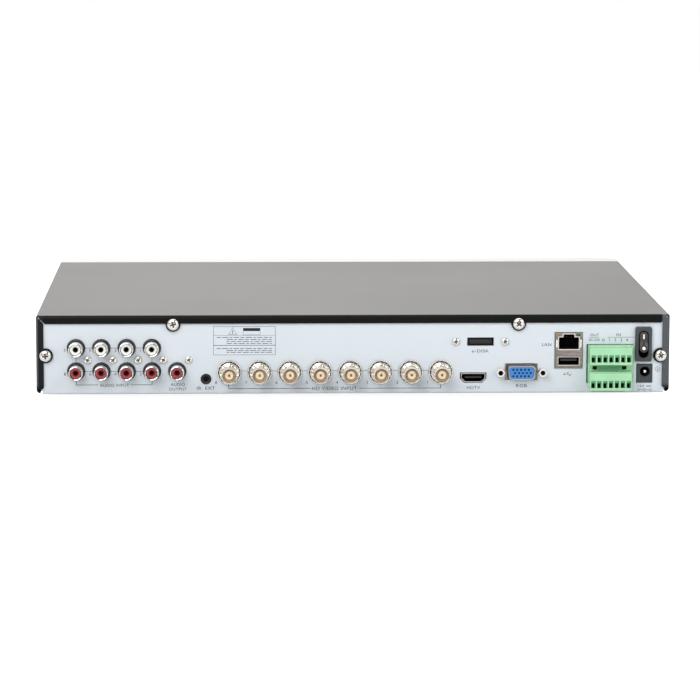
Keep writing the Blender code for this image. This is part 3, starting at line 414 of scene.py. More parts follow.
def cross_floor(at, radius, height, turn, way=REAR):
    """Painted shade for the floor of a cross recess: a plus of two bars, turned, just over the recess's floor."""
    long, wide = radius * 0.46, radius * 0.115
    plus = np.array([(long, wide), (wide, wide), (wide, long), (-wide, long), (-wide, wide), (-long, wide),
                     (-long, -wide), (-wide, -wide), (-wide, -long), (wide, -long), (wide, -wide), (long, -wide)])
    spin = np.array([[math.cos(turn), math.sin(turn)], [-math.sin(turn), math.cos(turn)]])
    reaches = [height * 0.30, height * 0.72, height * 0.74]
    return rings([plus @ spin, plus @ spin, plus @ spin * 0.9], reaches, at, way)


def screws():
    """Every visible screw in place of its plain node."""
    turns = (0.25, 0.9, 0.1, 0.6, 1.2, 0.75, 0.35, 1.05, 0.5, 0.15, 0.7)
    kinds = ([f"cover_screw_{i}" for i in range(1, 5)] + [f"rca_screw_{i}" for i in range(1, 6)]
             + ["disk_link_screw_1", "disk_link_screw_2"])
    for name, turn in zip(kinds, turns):
        centre, low, high = middle(name)
        big = name.startswith("cover")
        height = 0.0022 if big else 0.0014
        radius = (high[0] - low[0]) / 2 * (0.95 if big else 0.92)
        seat = low[1] + height
        at = np.array([centre[0], seat, centre[2]])
        head = pan_head(at, radius, height, turn, shank=0.0014, length=high[1] - seat)
        piece(name + "_head", head, "nickel", stands_for=[name], crease=50)
        piece(name + "_cross", cross_floor(at, radius, height, turn), "pit_shade_steel")


# Phono jacks

PHONO_LOWER = 0.01375
PHONO_UPPER = 0.0277
PHONO_LEFT = 0.0065


def phono_places():
    """Each phono block's number, its x and the heights of its jacks."""
    for index in range(1, 6):
        _, low, high = middle(f"rca_block_{index}")
        rows = (PHONO_LOWER, PHONO_UPPER) if high[2] - UNDER > 0.030 else (PHONO_LOWER,)
        yield index, low[0] + PHONO_LEFT, rows


def phono_blocks():
    """Black housings with collars, plated sleeves, coloured inserts, and painted shade in the gaps round the
    inserts and in their bores.
    """
    for index, x, rows in phono_places():
        node = f"rca_block_{index}"
        _, low, high = middle(node)
        back = high[1]
        ear = (UNDER + 0.0170, UNDER + 0.0240)
        front = FACE + 0.0013
        shapes = [bar((low[0], front, low[2]), (low[0] + 0.0107, back, high[2]), 0.0003),
                  bar((low[0] + 0.0100, front, ear[0]), (high[0], back, ear[1]), 0.0003)]
        for row, height in enumerate(rows):
            at = spot_on(x, height)
            collar = [(0.0, -0.0030), (0.0, 0.0013), (0.0002, 0.0017), (0.0005, 0.0018), (0.0009, 0.0018)]
            shapes.append(carried(circle(0.0052, 48), collar, at))
            sleeve = [(0.0, 0.0010), (0.0, 0.0088), (0.00012, 0.0092), (0.0004, 0.0093), (0.00068, 0.0092),
                      (0.0008, 0.0088), (0.0008, 0.0010)]
            name = f"phono_{index}_{'lower' if row == 0 else 'upper'}"
            piece(name + "_sleeve", carried(circle(0.0042, 48), sleeve, at, loop=True), "nickel")
            insert = [(0.0, 0.0012), (0.0, 0.0082), (0.0002, 0.0085), (0.0008, 0.0085), (0.0010, 0.0083),
                      (0.0014, 0.0074), (0.0016, 0.0072), (0.0016, 0.0012)]
            look = "red_insert" if row == 0 else "white_insert"
            piece(name + "_insert", carried(circle(0.00318, 48), insert, at, loop=True), look)
            # The groove ring and the contact cup are painted shade: near black, and dark red in the red rows.
            groove = [(0.0, 0.0020), (0.0, 0.0080), (0.0001, 0.0082), (0.00022, 0.0082), (0.00025, 0.0020)]
            piece(name + "_groove", carried(circle(0.0034, 48), groove, at, loop=True), "cavity")
            cup = [(0.0, 0.0020), (0.0, 0.0071), (0.00025, 0.0073), (0.0005, 0.0068), (0.0006, 0.0035)]
            shade = "red_shade" if row == 0 else "cavity"
            piece(name + "_contact", carried(circle(0.00165, 32), cup, at), shade)
        piece(f"phono_housing_{index}", join(*shapes), "black_moulding", stands_for=[node])


# Bayonet sockets

def toothed(radius, depth, teeth, sides=192):
    """An outline r = R - d s(a), s near 1 in narrow notches between the teeth."""
    angle = np.arange(sides) * TAU / sides
    notch = np.clip((np.cos(teeth * angle) - 0.70) / 0.25, 0, 1)
    r = radius - depth * notch
    return r[:, None] * np.stack([np.cos(angle), np.sin(angle)], axis=-1)


def stake_marks(count, radius, size, depth, start):
    """Pits round a face: depth exp(-(d / size)^2), d the distance to the nearest of the marks."""
    angle = start + np.arange(count) * TAU / count
    def relief(u, v, w):
        gap = [np.hypot(u - radius * math.cos(a), v - radius * math.sin(a)) for a in angle]
        near = np.min(gap, axis=0)
        return np.where(w > 0.0026, depth * np.exp(-(near / size) ** 2), 0)
    return relief


def bayonet_sockets():
    """Toothed washer over a disc of painted shadow, staked boss and barrel with two lugs, insulator ringed by
    painted shade and centre contact.
    """
    for index in range(1, 9):
        node = f"bnc_socket_{index}"
        centre, low, high = middle(node)
        at = np.array([centre[0], FACE, centre[2]])
        reach = FACE - low[1]
        washer = [(0.0003, 0.0005), (0.0, 0.0006), (0.0, 0.0009), (0.0003, 0.0013), (0.0007, 0.0013),
                  (0.0009, 0.0010), (0.0009, 0.0005)]
        piece(f"bayonet_washer_{index}", carried(toothed(0.0074, 0.0005, 15), washer, at, loop=True), "nickel")
        # A dark disc under the washer: painted shadow under its teeth and round the boss.
        backing = [(0.0, 0.0003), (0.0, 0.0005), (0.0006, 0.0006), (0.0006, 0.0012), (0.0008, 0.0014),
                   (0.0014, 0.0014)]
        piece(f"bayonet_gasket_{index}", carried(circle(0.0070, 56), backing, at), "washer_shadow")
        face = [(0.0002 + 0.0014 * s, 0.0031 - 0.0001 * s) for s in np.linspace(0, 1, 12)]
        barrel = [(0.0016, 0.0030), (0.00135, 0.0036), (0.00135, reach - 0.0004), (0.00155, reach),
                  (0.0018, reach), (0.00198, reach - 0.0004), (0.00198, 0.0070), (0.0030, 0.0068)]
        boss = [(0.0016, -0.0130), (0.0001, -0.0130), (0.0001, -0.0013), (0.0016, -0.0013), (0.0016, 0.0010),
                (0.0002, 0.0012), (0.0, 0.0018), (0.0, 0.0028)]
        relief = stake_marks(7, 0.0051, 0.00030, 0.0008, TAU / 14)
        shell = carried(circle(0.0060, 96), boss + face + barrel, at, relief=relief)
        # Dark discs in the stake pits: painted shade.
        angle = TAU / 14 + np.arange(7) * TAU / 7
        marks = [carried(circle(0.00034, 14), [(0, 0.0024), (0, 0.00272), (0.00008, 0.00275)],
                         at + [0.0051 * math.cos(a), 0, 0.0051 * math.sin(a)]) for a in angle]
        piece(f"bayonet_stakes_{index}", join(*marks), "pit_shade_steel")
        lugs = [carried(circle(0.0010, 24), [(0.0, 0.0), (0.0, 0.0007), (0.0002, 0.0009)],
                        at + [side * 0.0046, -reach + 0.0036, 0], way)
                for side, way in ((-1, LEFT), (1, RIGHT))]
        piece(f"bayonet_shell_{index}", join(shell, *lugs), "warm_nickel", stands_for=[node], crease=40)
        # The sleeve round the post in the darker copy of the insulator's colour: painted shade in the bore.
        sleeve = [(0.0, 0.0075), (0.0, 0.0120), (0.00025, 0.0123), (0.0010, 0.0118), (0.0016, 0.0117)]
        piece(f"bayonet_sleeve_{index}", carried(circle(0.0041, 40), sleeve, at), "insulator_shade")
        post = [(0.0, 0.0110), (0.0, 0.0126), (0.0003, 0.0131), (0.0009, 0.0133), (0.0016, 0.0131),
                (0.0019, 0.0127)]
        piece(f"bayonet_insulator_{index}", carried(circle(0.0026, 40), post, at), "insulator")
        # Slit and pin in the darker copy of the contact colour: painted shade in the centre contact.
        slit = carried(round_rect(0.00045, 0.0016, 0.00020, 3), [(0, 0.0120), (0, 0.01325), (0.0001, 0.0133)], at)
        pin = carried(circle(0.0005, 24), [(0.0, 0.0120), (0.0, 0.0132), (0.0001, 0.01335), (0.0003, 0.0132)], at)
        piece(f"bayonet_contact_{index}", join(slit, pin), "contact_shade")


# Small ports

def thin_shell(outline, wall, front, back, at):
    """A folded shell: an outline carried out, round its lip and back inside its wall."""
    lip = wall * 0.35
    path = [(0, back), (0, front - lip), (lip, front), (wall - lip, front), (wall, front - lip), (wall, back)]
    return carried(outline, path, at, loop=True)


def contact_row(count, pitch, span_z, span_reach, centre_x, width):
    """A row of flat contacts."""
    first = centre_x - pitch * (count - 1) / 2
    return join(*[slab((first + pitch * i - width / 2, first + pitch * i + width / 2), span_z, span_reach, 0.00003)
                  for i in range(count)])


def remote_jack():
    """A flush round jack: block behind the panel, ribbed ring and a bore lined with painted shade."""
    centre, low, high = middle("remote_jack")
    x, z = centre[0], 0.00895
    block = bar((low[0], FACE + 0.0013, low[2]), high, 0.0002)
    ring = [(0.0, -0.0012), (0.0, 0.0), (0.0002, 0.0003), (0.0006, 0.0003), (0.00085, 0.0001), (0.0011, 0.0),
            (0.0011, -0.0012)]
    collar = carried(circle(0.0029, 48), ring, spot_on(x, z), loop=True)
    piece("remote_jack_body", join(block, collar), "black_moulding", stands_for=["remote_jack"])
    cup = [(0.0, -0.0012), (0.0, -0.0002), (0.0002, -0.0004), (0.0004, -0.0030)]
    piece("remote_jack_bore", carried(circle(0.0019, 32), cup, spot_on(x, z)), "cavity")


def disk_link():
    """The disk link: dark shroud with a keyed tongue and its contacts, and the folded shield round it."""
    centre, low, high = middle("disk_link_port")
    x, z = centre[0], centre[2] - UNDER
    at = spot_on(x, z)
    shield = thin_shell(round_rect(0.0155, 0.0047, 0.0003), 0.00035, 0.0, -0.0060, at)
    piece("disk_link_shield", shield, "black_moulding")
    shroud = thin_shell(round_rect(0.0148, 0.0040, 0.0002), 0.0004, 0.0, -0.0100, at)
    plate = bar((low[0], FACE + 0.0013, low[2]), (high[0], FACE + 0.0034, high[2]), 0.0002)
    # The floor behind the tongue is painted shade.
    floor = slab(about(x, 0.0070), about(z, 0.0017), (-0.0110, -0.0085))
    piece("disk_link_shroud", join(shroud, floor), "cavity")
    tongue = join(slab(about(x, 0.0050), (z + 0.0002, z + 0.0011), (-0.0012, -0.0090)),
                  slab((x - 0.0060, x - 0.0050), (z - 0.0006, z + 0.0011), (-0.0012, -0.0090)))
    piece("disk_link_tongue", tongue, "tongue")
    piece("disk_link_contacts", contact_row(7, 0.00127, (z + 0.0001, z + 0.0002), (-0.0020, -0.0080), x, 0.0007),
          "contact")
    piece("disk_link_plate", plate, "black_moulding", stands_for=["disk_link_port"])


def digital_port():
    """The digital video socket: folded shell with its two lower corners drawn in, tongue and contacts."""
    centre, _, _ = middle("digital_video_port")
    x, z = centre[0], centre[2] - UNDER
    half, top, cut = 0.0072, 0.00270, 0.0022
    corners = [(half, top), (-half, top), (-half, -top + cut), (-half + cut, -top), (half - cut, -top),
               (half, -top + cut)]
    at = spot_on(x, z)
    shell = thin_shell(eased(corners, 0.0005), 0.00042, 0.0002, -0.0115, at)
    piece("digital_shell", shell, "nickel", stands_for=["digital_video_port"])
    # The back and lining inside the shell are painted shade.
    back = carried(eased(corners, 0.0005) * 0.93, [(0, -0.0118), (0, -0.0096)], at)
    lining = thin_shell(eased(corners, 0.0005) * 0.935, 0.0002, -0.0003, -0.0112, at)
    piece("digital_lining", join(back, lining), "cavity")
    piece("digital_tongue", slab(about(x, 0.0050), (z - 0.0003, z + 0.0007), (-0.0008, -0.0100), 0.0002),
          "tongue")
    piece("digital_contacts", contact_row(10, 0.0010, (z - 0.00036, z - 0.00030), (-0.0014, -0.0090), x, 0.0005),
          "contact")


def analog_port():
    """The analogue video socket: flange, D shell, blue face with its holes and two hexagonal standoffs."""
    centre, low, high = middle("analog_video_port")
    x, z = centre[0], centre[2] - UNDER
    at = spot_on(x, z)
    dee = np.array([(0.00815, 0.0040), (-0.00815, 0.0040), (-0.00740, -0.0040), (0.00740, -0.0040)])
    outline = eased(dee, 0.0019, 6)
    flange = bar((low[0], FACE + 0.0013, low[2]), (high[0], FACE + 0.0045, high[2]), 0.0003)
    skirt = carried(outline, [(-0.0009, -0.0016), (-0.0006, 0.0), (0.0, 0.0008), (0.0, 0.0009)], at)
    piece("analog_flange", join(flange, skirt), "shell_steel", stands_for=["analog_video_port"])
    piece("analog_shell", thin_shell(outline, 0.00045, 0.0058, 0.0002, at), "nickel")
    core = [(0.0, 0.0002), (0.0, 0.0049), (0.00025, 0.0052), (0.0006, 0.0053)]
    piece("analog_face", carried(outline * 0.935, core, at), "blue_moulding")
    # Dark discs at the holes: painted shade.
    holes = []
    for row, (lift, shift) in enumerate(((0.0019, -0.0005), (0.0, 0.0006), (-0.0019, -0.0005))):
        for place in range(5):
            spot = at + [(place - 2) * 0.00229 + shift, 0, lift]
            holes.append(carried(circle(0.00066, 16), [(0, 0.0050), (0, 0.00532), (0.0001, 0.00535)], spot))
    piece("analog_holes", join(*holes), "blue_hole_shade")
    for index in (1, 2):
        node = f"video_standoff_{index}"
        spot, _, _ = middle(node)
        spot = np.array([spot[0], FACE, spot[2]])
        hexagon = eased(circle(0.0029, 6), 0.0003, 4)
        inner = as_circle(hexagon, 0.0014)
        outer = [hexagon, hexagon, hexagon * 0.93, inner * 1.12, inner, inner * 0.92, inner * 0.92]
        body = rings(outer, [0.0003, 0.0050, 0.0056, 0.0056, 0.0053, 0.0050, 0.0012], spot)
        piece(f"standoff_{index}", body, "nickel", stands_for=[node])
        # The bore's near-black lining is painted shade.
        piece(f"standoff_bore_{index}", carried(circle(0.00125, 24), [(0, 0.0014), (0, 0.0042), (0.0002, 0.0040),
                                                                      (0.0004, 0.0020)], spot), "cavity")


def stepped_mouth(shrink):
    """The network mouth's outline about its middle: a wide slot, a step and a narrow notch above it."""
    wide, step, notch = 0.0059 - shrink, 0.0032 - shrink, 0.0022 - shrink
    low, shelf, upper = -0.0035 + shrink, 0.0035 - shrink, 0.0053 - shrink
    return np.array([(wide, shelf), (step, shelf), (step, upper), (notch, upper), (-notch, upper), (-step, upper),
                     (-step, shelf), (-wide, shelf), (-wide, low), (wide, low)])


def network_port():
    """The network jack over a data port: linings, contacts, lamps, side springs and the data tongue."""
    dress("shell_steel", "network_data_port", ease=0.00018)
    centre, _, _ = middle("network_data_port")
    x, z = centre[0], 0.0299
    at = spot_on(x, z)
    # The mouth's near-black lining is painted shade.
    mouth = rings([stepped_mouth(0.00003), stepped_mouth(0.00003), stepped_mouth(0.0002), stepped_mouth(0.0002)],
                  [-0.0140, 0.0004, 0.0004, -0.0140], at, loop=True)
    back = slab(about(x, 0.0058), (0.0265, 0.0333), (-0.0144, -0.0132))
    piece("network_lining", join(mouth, back), "cavity")
    # The contacts deep in the mouth in the darker copy of the contact colour: painted shade.
    wires = contact_row(8, 0.00102, (0.0326, 0.0328), (-0.0060, -0.0120), x, 0.0004)
    piece("network_contacts", wires, "contact_shade")
    rect = round_rect(0.0121, 0.0044, 0.0002)
    data_at = spot_on(x, 0.01915)
    # The data port's near-black lining is painted shade.
    lining = thin_shell(rect, 0.00025, 0.0004, -0.0120, data_at)
    behind = slab(about(x, 0.0060), (0.0170, 0.0213), (-0.0125, -0.0105))
    piece("data_lining", join(lining, behind), "cavity")
    rim = thin_shell(round_rect(0.0131, 0.0054, 0.0004), 0.00045, 0.0011, 0.0002, data_at)
    mouth_rim = rings([stepped_mouth(-0.0005), stepped_mouth(-0.0005), stepped_mouth(-0.0001),
                       stepped_mouth(-0.0001)], [0.0002, 0.0011, 0.0011, 0.0002], at, loop=True)
    piece("network_rims", join(rim, mouth_rim), "nickel")
    piece("data_tongue", slab(about(x, 0.0050), (0.0190, 0.0206), (-0.0006, -0.0110), 0.0002), "tongue")
    piece("data_contacts", contact_row(4, 0.0022, (0.01894, 0.01900), (-0.0014, -0.0100), x, 0.0010), "contact")
    lamp_z = (0.0341, 0.0355)
    piece("network_lamp_left", slab((x - 0.0071, x - 0.0044), lamp_z, (0.0, 0.0012), 0.0002), "amber_lens")
    piece("network_lamp_right", slab((x + 0.0044, x + 0.0071), lamp_z, (0.0, 0.0012), 0.0002), "green_lens")
    springs = [slab((x + side * 0.0071 - 0.0006, x + side * 0.0071 + 0.0006), (0.0272, 0.0322), (0.0004, 0.0013),
                    0.0003) for side in (-1, 1)]
    piece("network_springs", join(*springs), "nickel")


# Terminals and power

WAYS = [0.1413 + 0.0035 * index for index in range(7)]
SWITCH_MIDDLE = 0.0293
ROCKER_MIDDLE = 0.03065
ROCKER_RIDGE = -0.0005
ROCKER_FLAT = 0.0026
ROCKER_SLOPE = math.tan(math.radians(22))


def wire_entry(x, base):
    """One wire entry: a lining of painted shade in the hole, and a ramp above with a narrow cheek at its right
    that guide the wire in.
    """
    rect = round_rect(0.00249, 0.00429, 0.00005, 1)
    lining = thin_shell(rect, 0.00006, 0.01100, 0.0046, spot_on(x, base + 0.00375))
    floor = slab(about(x, 0.0012), (base + 0.0017, base + 0.0058), (0.0046, 0.0050), 0.00005)
    profile = np.array([(0.0111, 0.00583), (0.0111, 0.00560), (0.0104, 0.0045), (0.0085, 0.0041), (0.0060, 0.0041),
                        (0.0060, 0.00583)])
    ramp = skin(np.array([[spot_on(x + side * 0.00118, base + up, reach) for reach, up in profile]
                          for side in (-1, 1)]))
    cheek = skin(np.array([[spot_on(x + 0.00118, base + up, 0.0110), spot_on(x + 0.00072, base + up, 0.0100),
                            spot_on(x + 0.00118, base + up, 0.0080)] for up in (0.00172, 0.0046)]))
    return join(lining, floor), join(ramp, cheek)


def terminal_block():
    """The wire plugs with their wire entries, edge lines and clamp screws, and the header's web between them; the
    web, entries and lines are painted shade.
    """
    dress("green_moulding", "terminal_header", ease=0.00015)
    # The web's darker strips are painted shade.
    web = (0.1442, 0.1589)
    strip = join(slab(web, (0.0148, 0.0167), (0.0029, 0.00320), 0.0001),
                 slab(web, (0.0142, 0.0145), (0.0029, 0.00310), 0.0001))
    piece("terminal_web", strip, "green_web_shade")
    # The wells are near-black squares of painted shade.
    wells = [slab(about(x, 0.00130), (0.01440, 0.01650), (0.0029, 0.00306), 0.0001)
             for x in (0.1428, 0.1603)]
    piece("terminal_wells", join(*wells), "cavity")
    for name in ("terminal_plug_upper", "terminal_plug_lower"):
        dress("green_moulding", name, ease=0.00018)
        _, low, high = middle(name)
        base = low[2] - UNDER
        # The entries' linings, ramps and cheeks carry painted shade in darker greens.
        linings, ramps = zip(*[wire_entry(x, base) for x in WAYS])
        piece(name + "_hollows", join(*linings), "green_hollow_shade", body=name)
        piece(name + "_ramps", join(*ramps), "green_ramp_shade", body=name)
        # A thin darker green line along the top front edge: painted shade of the edge.
        line = slab((low[0] + 0.0003, high[0] - 0.0003), (base + 0.01035, base + 0.01065),
                    (0.0110, 0.01124), 0.00004)
        piece(name + "_line", line, "green_web_shade", body=name)
        slot = cross_recess(0.0010, 0.00022, 0.0004, 0.6, 0.0001)
        head = [(0, 0), (0, 0.00015)] + [(0.0002 + 0.0001 * i, 0.0003) for i in range(9)]
        tops = [carried(circle(0.0011, 32), head, (x, FACE - 0.0078, high[2] - 0.0002), ABOVE, relief=slot)
                for x in WAYS]
        piece(name + "_screws", join(*tops), "nickel", body=name)


def skin(sections):
    """A prism between sections of places: rings of points, closed flat at both ends."""
    rows, columns = sections.shape[:2]
    blank = np.zeros((rows, columns, 2))
    _, corners, counts = rings(blank, np.zeros(rows), (0, 0, 0))
    return sections.reshape(-1, 3), corners, counts


def power_parts():
    """The switch with its marks and the low-voltage inlet."""
    centre, _, _ = middle("switch_housing")
    x, z = centre[0], SWITCH_MIDDLE
    at = spot_on(x, z)
    outer = round_rect(0.0099, 0.0208, 0.0012, 8)
    slot = round_rect(0.0058, 0.0163, 0.00289, 8) - [0, 0.0002]
    edge = [outer, outer, outer * 0.985, outer * 0.95, slot * 1.05, slot, slot]
    reaches = [0.0003, 0.0016, 0.0021, 0.0023, 0.0023, 0.0020, -0.0060]
    bezel = rings(edge, reaches, at, loop=True)
    body = slab(about(x, 0.0042), about(z, 0.0095), (-0.0150, -0.0062), 0.0003)
    piece("switch_bezel", join(bezel, body), "grey_moulding", stands_for=["switch_housing"])
    # The well round and below the rocker is painted shadow.
    well = rings([slot * 0.999, slot * 0.999, slot * 0.95, slot * 0.95], [0.0012, -0.0058, -0.0058, 0.0012], at,
                 loop=True)
    floor = slab(about(x, 0.0028), (z - 0.0082, z + 0.0078), (-0.0060, -0.0056))
    piece("switch_well", join(well, floor), "cavity")
    rocker(x)
    power_inlet()


def rocker_face(v):
    """The rocker's face: flat above its ridge and swelling outward below it, 2.6 mm + slope * soft(ridge - v)."""
    below = ROCKER_RIDGE - v
    soft = 0.0004
    return ROCKER_FLAT + ROCKER_SLOPE * (below + np.sqrt(below ** 2 + soft ** 2)) / 2


def rocker(x):
    """The rocker with its rounded ends, its bar above and its dot below, all swinging together."""
    plan = round_rect(0.0049, 0.0121, 0.00244, 10)
    crown = 0.006
    scale = [1.0, 1.0, 0.985, 0.95, 0.88, *np.linspace(0.78, 0.02, 14)]
    drop = [0.0088, 0.0005, 0.00022, 0.00006, 0.0, *np.zeros(14)]

    def relief(u, v, w):
        return np.where(w > 0, crown - rocker_face(v), 0)

    body = rings([plan * one for one in scale], [crown - one for one in drop], spot_on(x, ROCKER_MIDDLE),
                 relief=relief)
    piece("rocker_body", body, "rocker_moulding", body="power_rocker", stands_for=["power_rocker"], crease=45)
    bar_mark = slab(about(x, 0.00045), (0.0325, 0.0353), (0.00255, 0.00268), 0.00005)
    piece("rocker_bar", bar_mark, "pale_ink", body="power_rocker")
    lean = math.atan(ROCKER_SLOPE)
    tilted = np.array([[1.0, 0, 0], [0, math.sin(lean), math.cos(lean)], [0, -math.cos(lean), math.sin(lean)]])
    height = -0.0036
    at = spot_on(x, ROCKER_MIDDLE + height, float(rocker_face(np.array(height))) - 0.00002)
    dot = carried(circle(0.0010, 28), [(0, 0), (0, 0.00007), (0.00002, 0.00007)], at, tilted)
    piece("rocker_dot", dot, "pale_ink", body="power_rocker")


def power_inlet():
    """The low-voltage inlet: block, round mouth, a bore lined with painted shade and bright pin."""
    centre, low, high = middle("power_jack")
    hole = np.array([centre[0] + 0.0003, FACE, centre[2] + 0.0011])
    front = FACE - low[1]
    width, height = high[0] - low[0], high[2] - low[2]
    outer = round_rect(width, height, 0.0003, 8) + (centre - hole)[[0, 2]]
    mouth = round_rect(0.0059, 0.0059, 0.00294, 8)
    edge = [outer, outer, outer * 0.985, mouth * 1.08, mouth * 1.04, mouth, mouth, mouth * 0.5]
    block = rings(edge, [-0.0130, front - 0.0002, front, front, front - 0.0001, front - 0.0005, -0.0090, -0.0091],
                  hole)
    piece("inlet_block", block, "grey_moulding", stands_for=["power_jack"])
    lining = [(0.0, -0.0088), (0.0, -0.0002), (0.0002, -0.0002), (0.0002, -0.0088)]
    piece("inlet_bore", carried(circle(0.00293, 40), lining, hole, loop=True), "cavity")
    piece("inlet_floor", carried(circle(0.0027, 40), [(0, -0.0092), (0, -0.0080), (0.0004, -0.0078)], hole),
          "cavity")
    pin = [(0.0, -0.0085), (0.0, -0.0003), (0.0001, 0.0001), (0.0003, 0.0003), (0.0006, 0.0004)]
    piece("inlet_pin", carried(circle(0.00105, 24), pin, hole), "nickel")


# Printed marks

INK_LOW, INK_HIGH = 0.00001, 0.00004


def stroke(x0, z0, x1, z1, width=0.0003):
    """A printed line along X or Z."""
    half = width / 2
    return slab((min(x0, x1) - half, max(x0, x1) + half), (min(z0, z1) - half, max(z0, z1) + half),
                (INK_LOW, INK_HIGH), 0.00001)


def strokes(width, *spans):
    """Several printed lines of one width."""
    return [stroke(*span, width) for span in spans]


def lettering(words, span_x, span_z):
    """Words in the plain built-in face as a thin closed shape between two heights.

    They are fitted between two x, or keep their own width round one x.
    """
    curve = bpy.data.curves.new("words", "FONT")
    curve.body = words
    curve.extrude = 0.01
    curve.space_character = 1.08
    drawn = bpy.data.objects.new("words", curve)
    bpy.context.scene.collection.objects.link(drawn)
    depsgraph = bpy.context.evaluated_depsgraph_get()
    mesh = bpy.data.meshes.new_from_object(drawn.evaluated_get(depsgraph))
    points = np.empty(len(mesh.vertices) * 3)
    mesh.vertices.foreach_get("co", points)
    corners = np.empty(len(mesh.loops), int)
    mesh.loops.foreach_get("vertex_index", corners)
    counts = np.empty(len(mesh.polygons), int)
    mesh.polygons.foreach_get("loop_total", counts)
    bpy.data.objects.remove(drawn)
    bpy.data.meshes.remove(mesh)
    bpy.data.curves.remove(curve)
    points = points.reshape(-1, 3)
    size = np.ptp(points, axis=0)
    share = (points - points.min(axis=0)) / size
    if isinstance(span_x, float):
        half = size[0] / size[1] * (span_z[1] - span_z[0]) / 2
        span_x = (span_x - half, span_x + half)
    low = spot_on(span_x[0], span_z[0], INK_LOW)
    high = spot_on(span_x[1], span_z[1], INK_HIGH)
    return low + (high - low) * share[:, [0, 2, 1]], corners, counts


def ring_mark(x, z, radius, width=0.0003):
    """A printed ring."""
    path = [(0, INK_LOW), (0, INK_HIGH), (width, INK_HIGH), (width, INK_LOW)]
    return carried(circle(radius, 28), path, spot_on(x, z), loop=True)


def audio_marks():
    """Channel numbers, the bracket under the phono inputs and the words for both groups."""
    places = list(phono_places())
    first, last = places[0][1], places[3][1]
    marks = [stroke(first, 0.0057, first + 0.0128, 0.0057), stroke(last - 0.0125, 0.0057, last, 0.0057)]
    for x in (first, last):
        marks += [stroke(x, 0.0057, x, 0.0086), stroke(x, 0.0190, x, 0.0224)]
    for (_, x, _), (_, after, _) in zip(places[:3], places[1:4]):
        for height in (PHONO_LOWER, PHONO_UPPER):
            marks.append(stroke(x + 0.0054, height, after - 0.0054, height, 0.00024))
    for index, x, rows in places[:4]:
        for row, height in enumerate(rows):
            digit = str(2 * (5 - index) - row)
            marks.append(lettering(digit, x - 0.0067, (height - 0.0024, height - 0.0007)))
    marks.append(lettering("AUDIO INPUT", (-0.1501, -0.1329), (0.0046, 0.0063)))
    marks.append(lettering("AUDIO", (-0.1083, -0.0999), (0.0049, 0.0066)))
    marks.append(lettering("OUTPUT", (-0.1093, -0.0989), (0.0022, 0.0039)))
    marks.append(lettering("IR  EXT", (-0.0928, -0.0821), (0.0026, 0.0045)))
    return marks


def video_marks():
    """Channel numbers and the bracket under the bayonet inputs."""
    marks = []
    spots = [middle(f"bnc_socket_{index}")[0] for index in range(1, 9)]
    for number, spot in zip("87654321", spots):
        marks.append(lettering(number, spot[0] - 0.0079, (0.0059, 0.0077)))
    for spot, after in zip(spots, spots[1:]):
        marks.append(stroke(spot[0] + 0.0076, 0.0138, after[0] - 0.0076, 0.0138, 0.00022))
    marks += strokes(0.0003, (-0.0741, 0.0032, -0.0257, 0.0032), (0.0031, 0.0032, 0.0516, 0.0032),
                     (-0.0741, 0.0032, -0.0741, 0.0052), (0.0516, 0.0032, 0.0516, 0.0052))
    marks.append(lettering("HD VIDEO INPUT", (-0.0247, 0.0019), (0.0022, 0.0042)))
    return marks


def port_marks():
    """The words under the outputs, round the terminals and by the power inlet."""
    words = (("e-DISK", (0.0701, 0.0801), (0.0244, 0.0262)), ("HDTV", (0.0672, 0.0750), (0.0025, 0.0043)),
             ("RGB", (0.0964, 0.1029), (0.0035, 0.0053)), ("LAN", (0.1116, 0.1171), (0.0281, 0.0299)),
             ("OUT", (0.1402, 0.1455), (0.0340, 0.0355)), ("NO COM", (0.1395, 0.1457), (0.0311, 0.0325)),
             ("G", 0.1481, (0.0310, 0.0326)), ("IN", (0.1558, 0.1583), (0.0340, 0.0356)),
             ("12V", (0.1690, 0.1728), (0.0032, 0.0046)))
    marks = [lettering(*row) for row in words]
    for number, x in zip("1234", (0.1517, 0.1551, 0.1587, 0.1621)):
        marks.append(lettering(number, x, (0.0309, 0.0326)))
    marks += strokes(0.0002, (0.1395, 0.0333, 0.1457, 0.0333), (0.1506, 0.0333, 0.1668, 0.0333),
                     (0.1742, 0.0042, 0.1768, 0.0042), (0.1742, 0.0036, 0.1768, 0.0036))
    for x in (0.1693, 0.1730, 0.1767):
        marks.append(ring_mark(x, 0.0018, 0.0007, 0.0002))
    marks += strokes(0.0002, (0.1701, 0.0018, 0.1722, 0.0018), (0.1738, 0.0018, 0.1759, 0.0018))
    marks += [ring_mark(0.1806, 0.0141, 0.0016, 0.0002), stroke(0.1806, 0.0141, 0.1806, 0.0149, 0.0002)]
    for width, z in ((0.0014, 0.0141), (0.0009, 0.0136), (0.0004, 0.0131)):
        marks.append(stroke(0.1806 - width / 2, z, 0.1806 + width / 2, z, 0.0002))
    marks.append(ring_mark(0.1251, 0.0112, 0.0005, 0.0003))
    marks += strokes(0.0002, (0.1256, 0.0112, 0.1296, 0.0112), (0.1268, 0.0112, 0.1268, 0.0121),
                     (0.1280, 0.0103, 0.1280, 0.0112))
    marks += strokes(0.0003, (0.1276, 0.0121, 0.1268, 0.0121), (0.1280, 0.0103, 0.1288, 0.0103))
    return marks


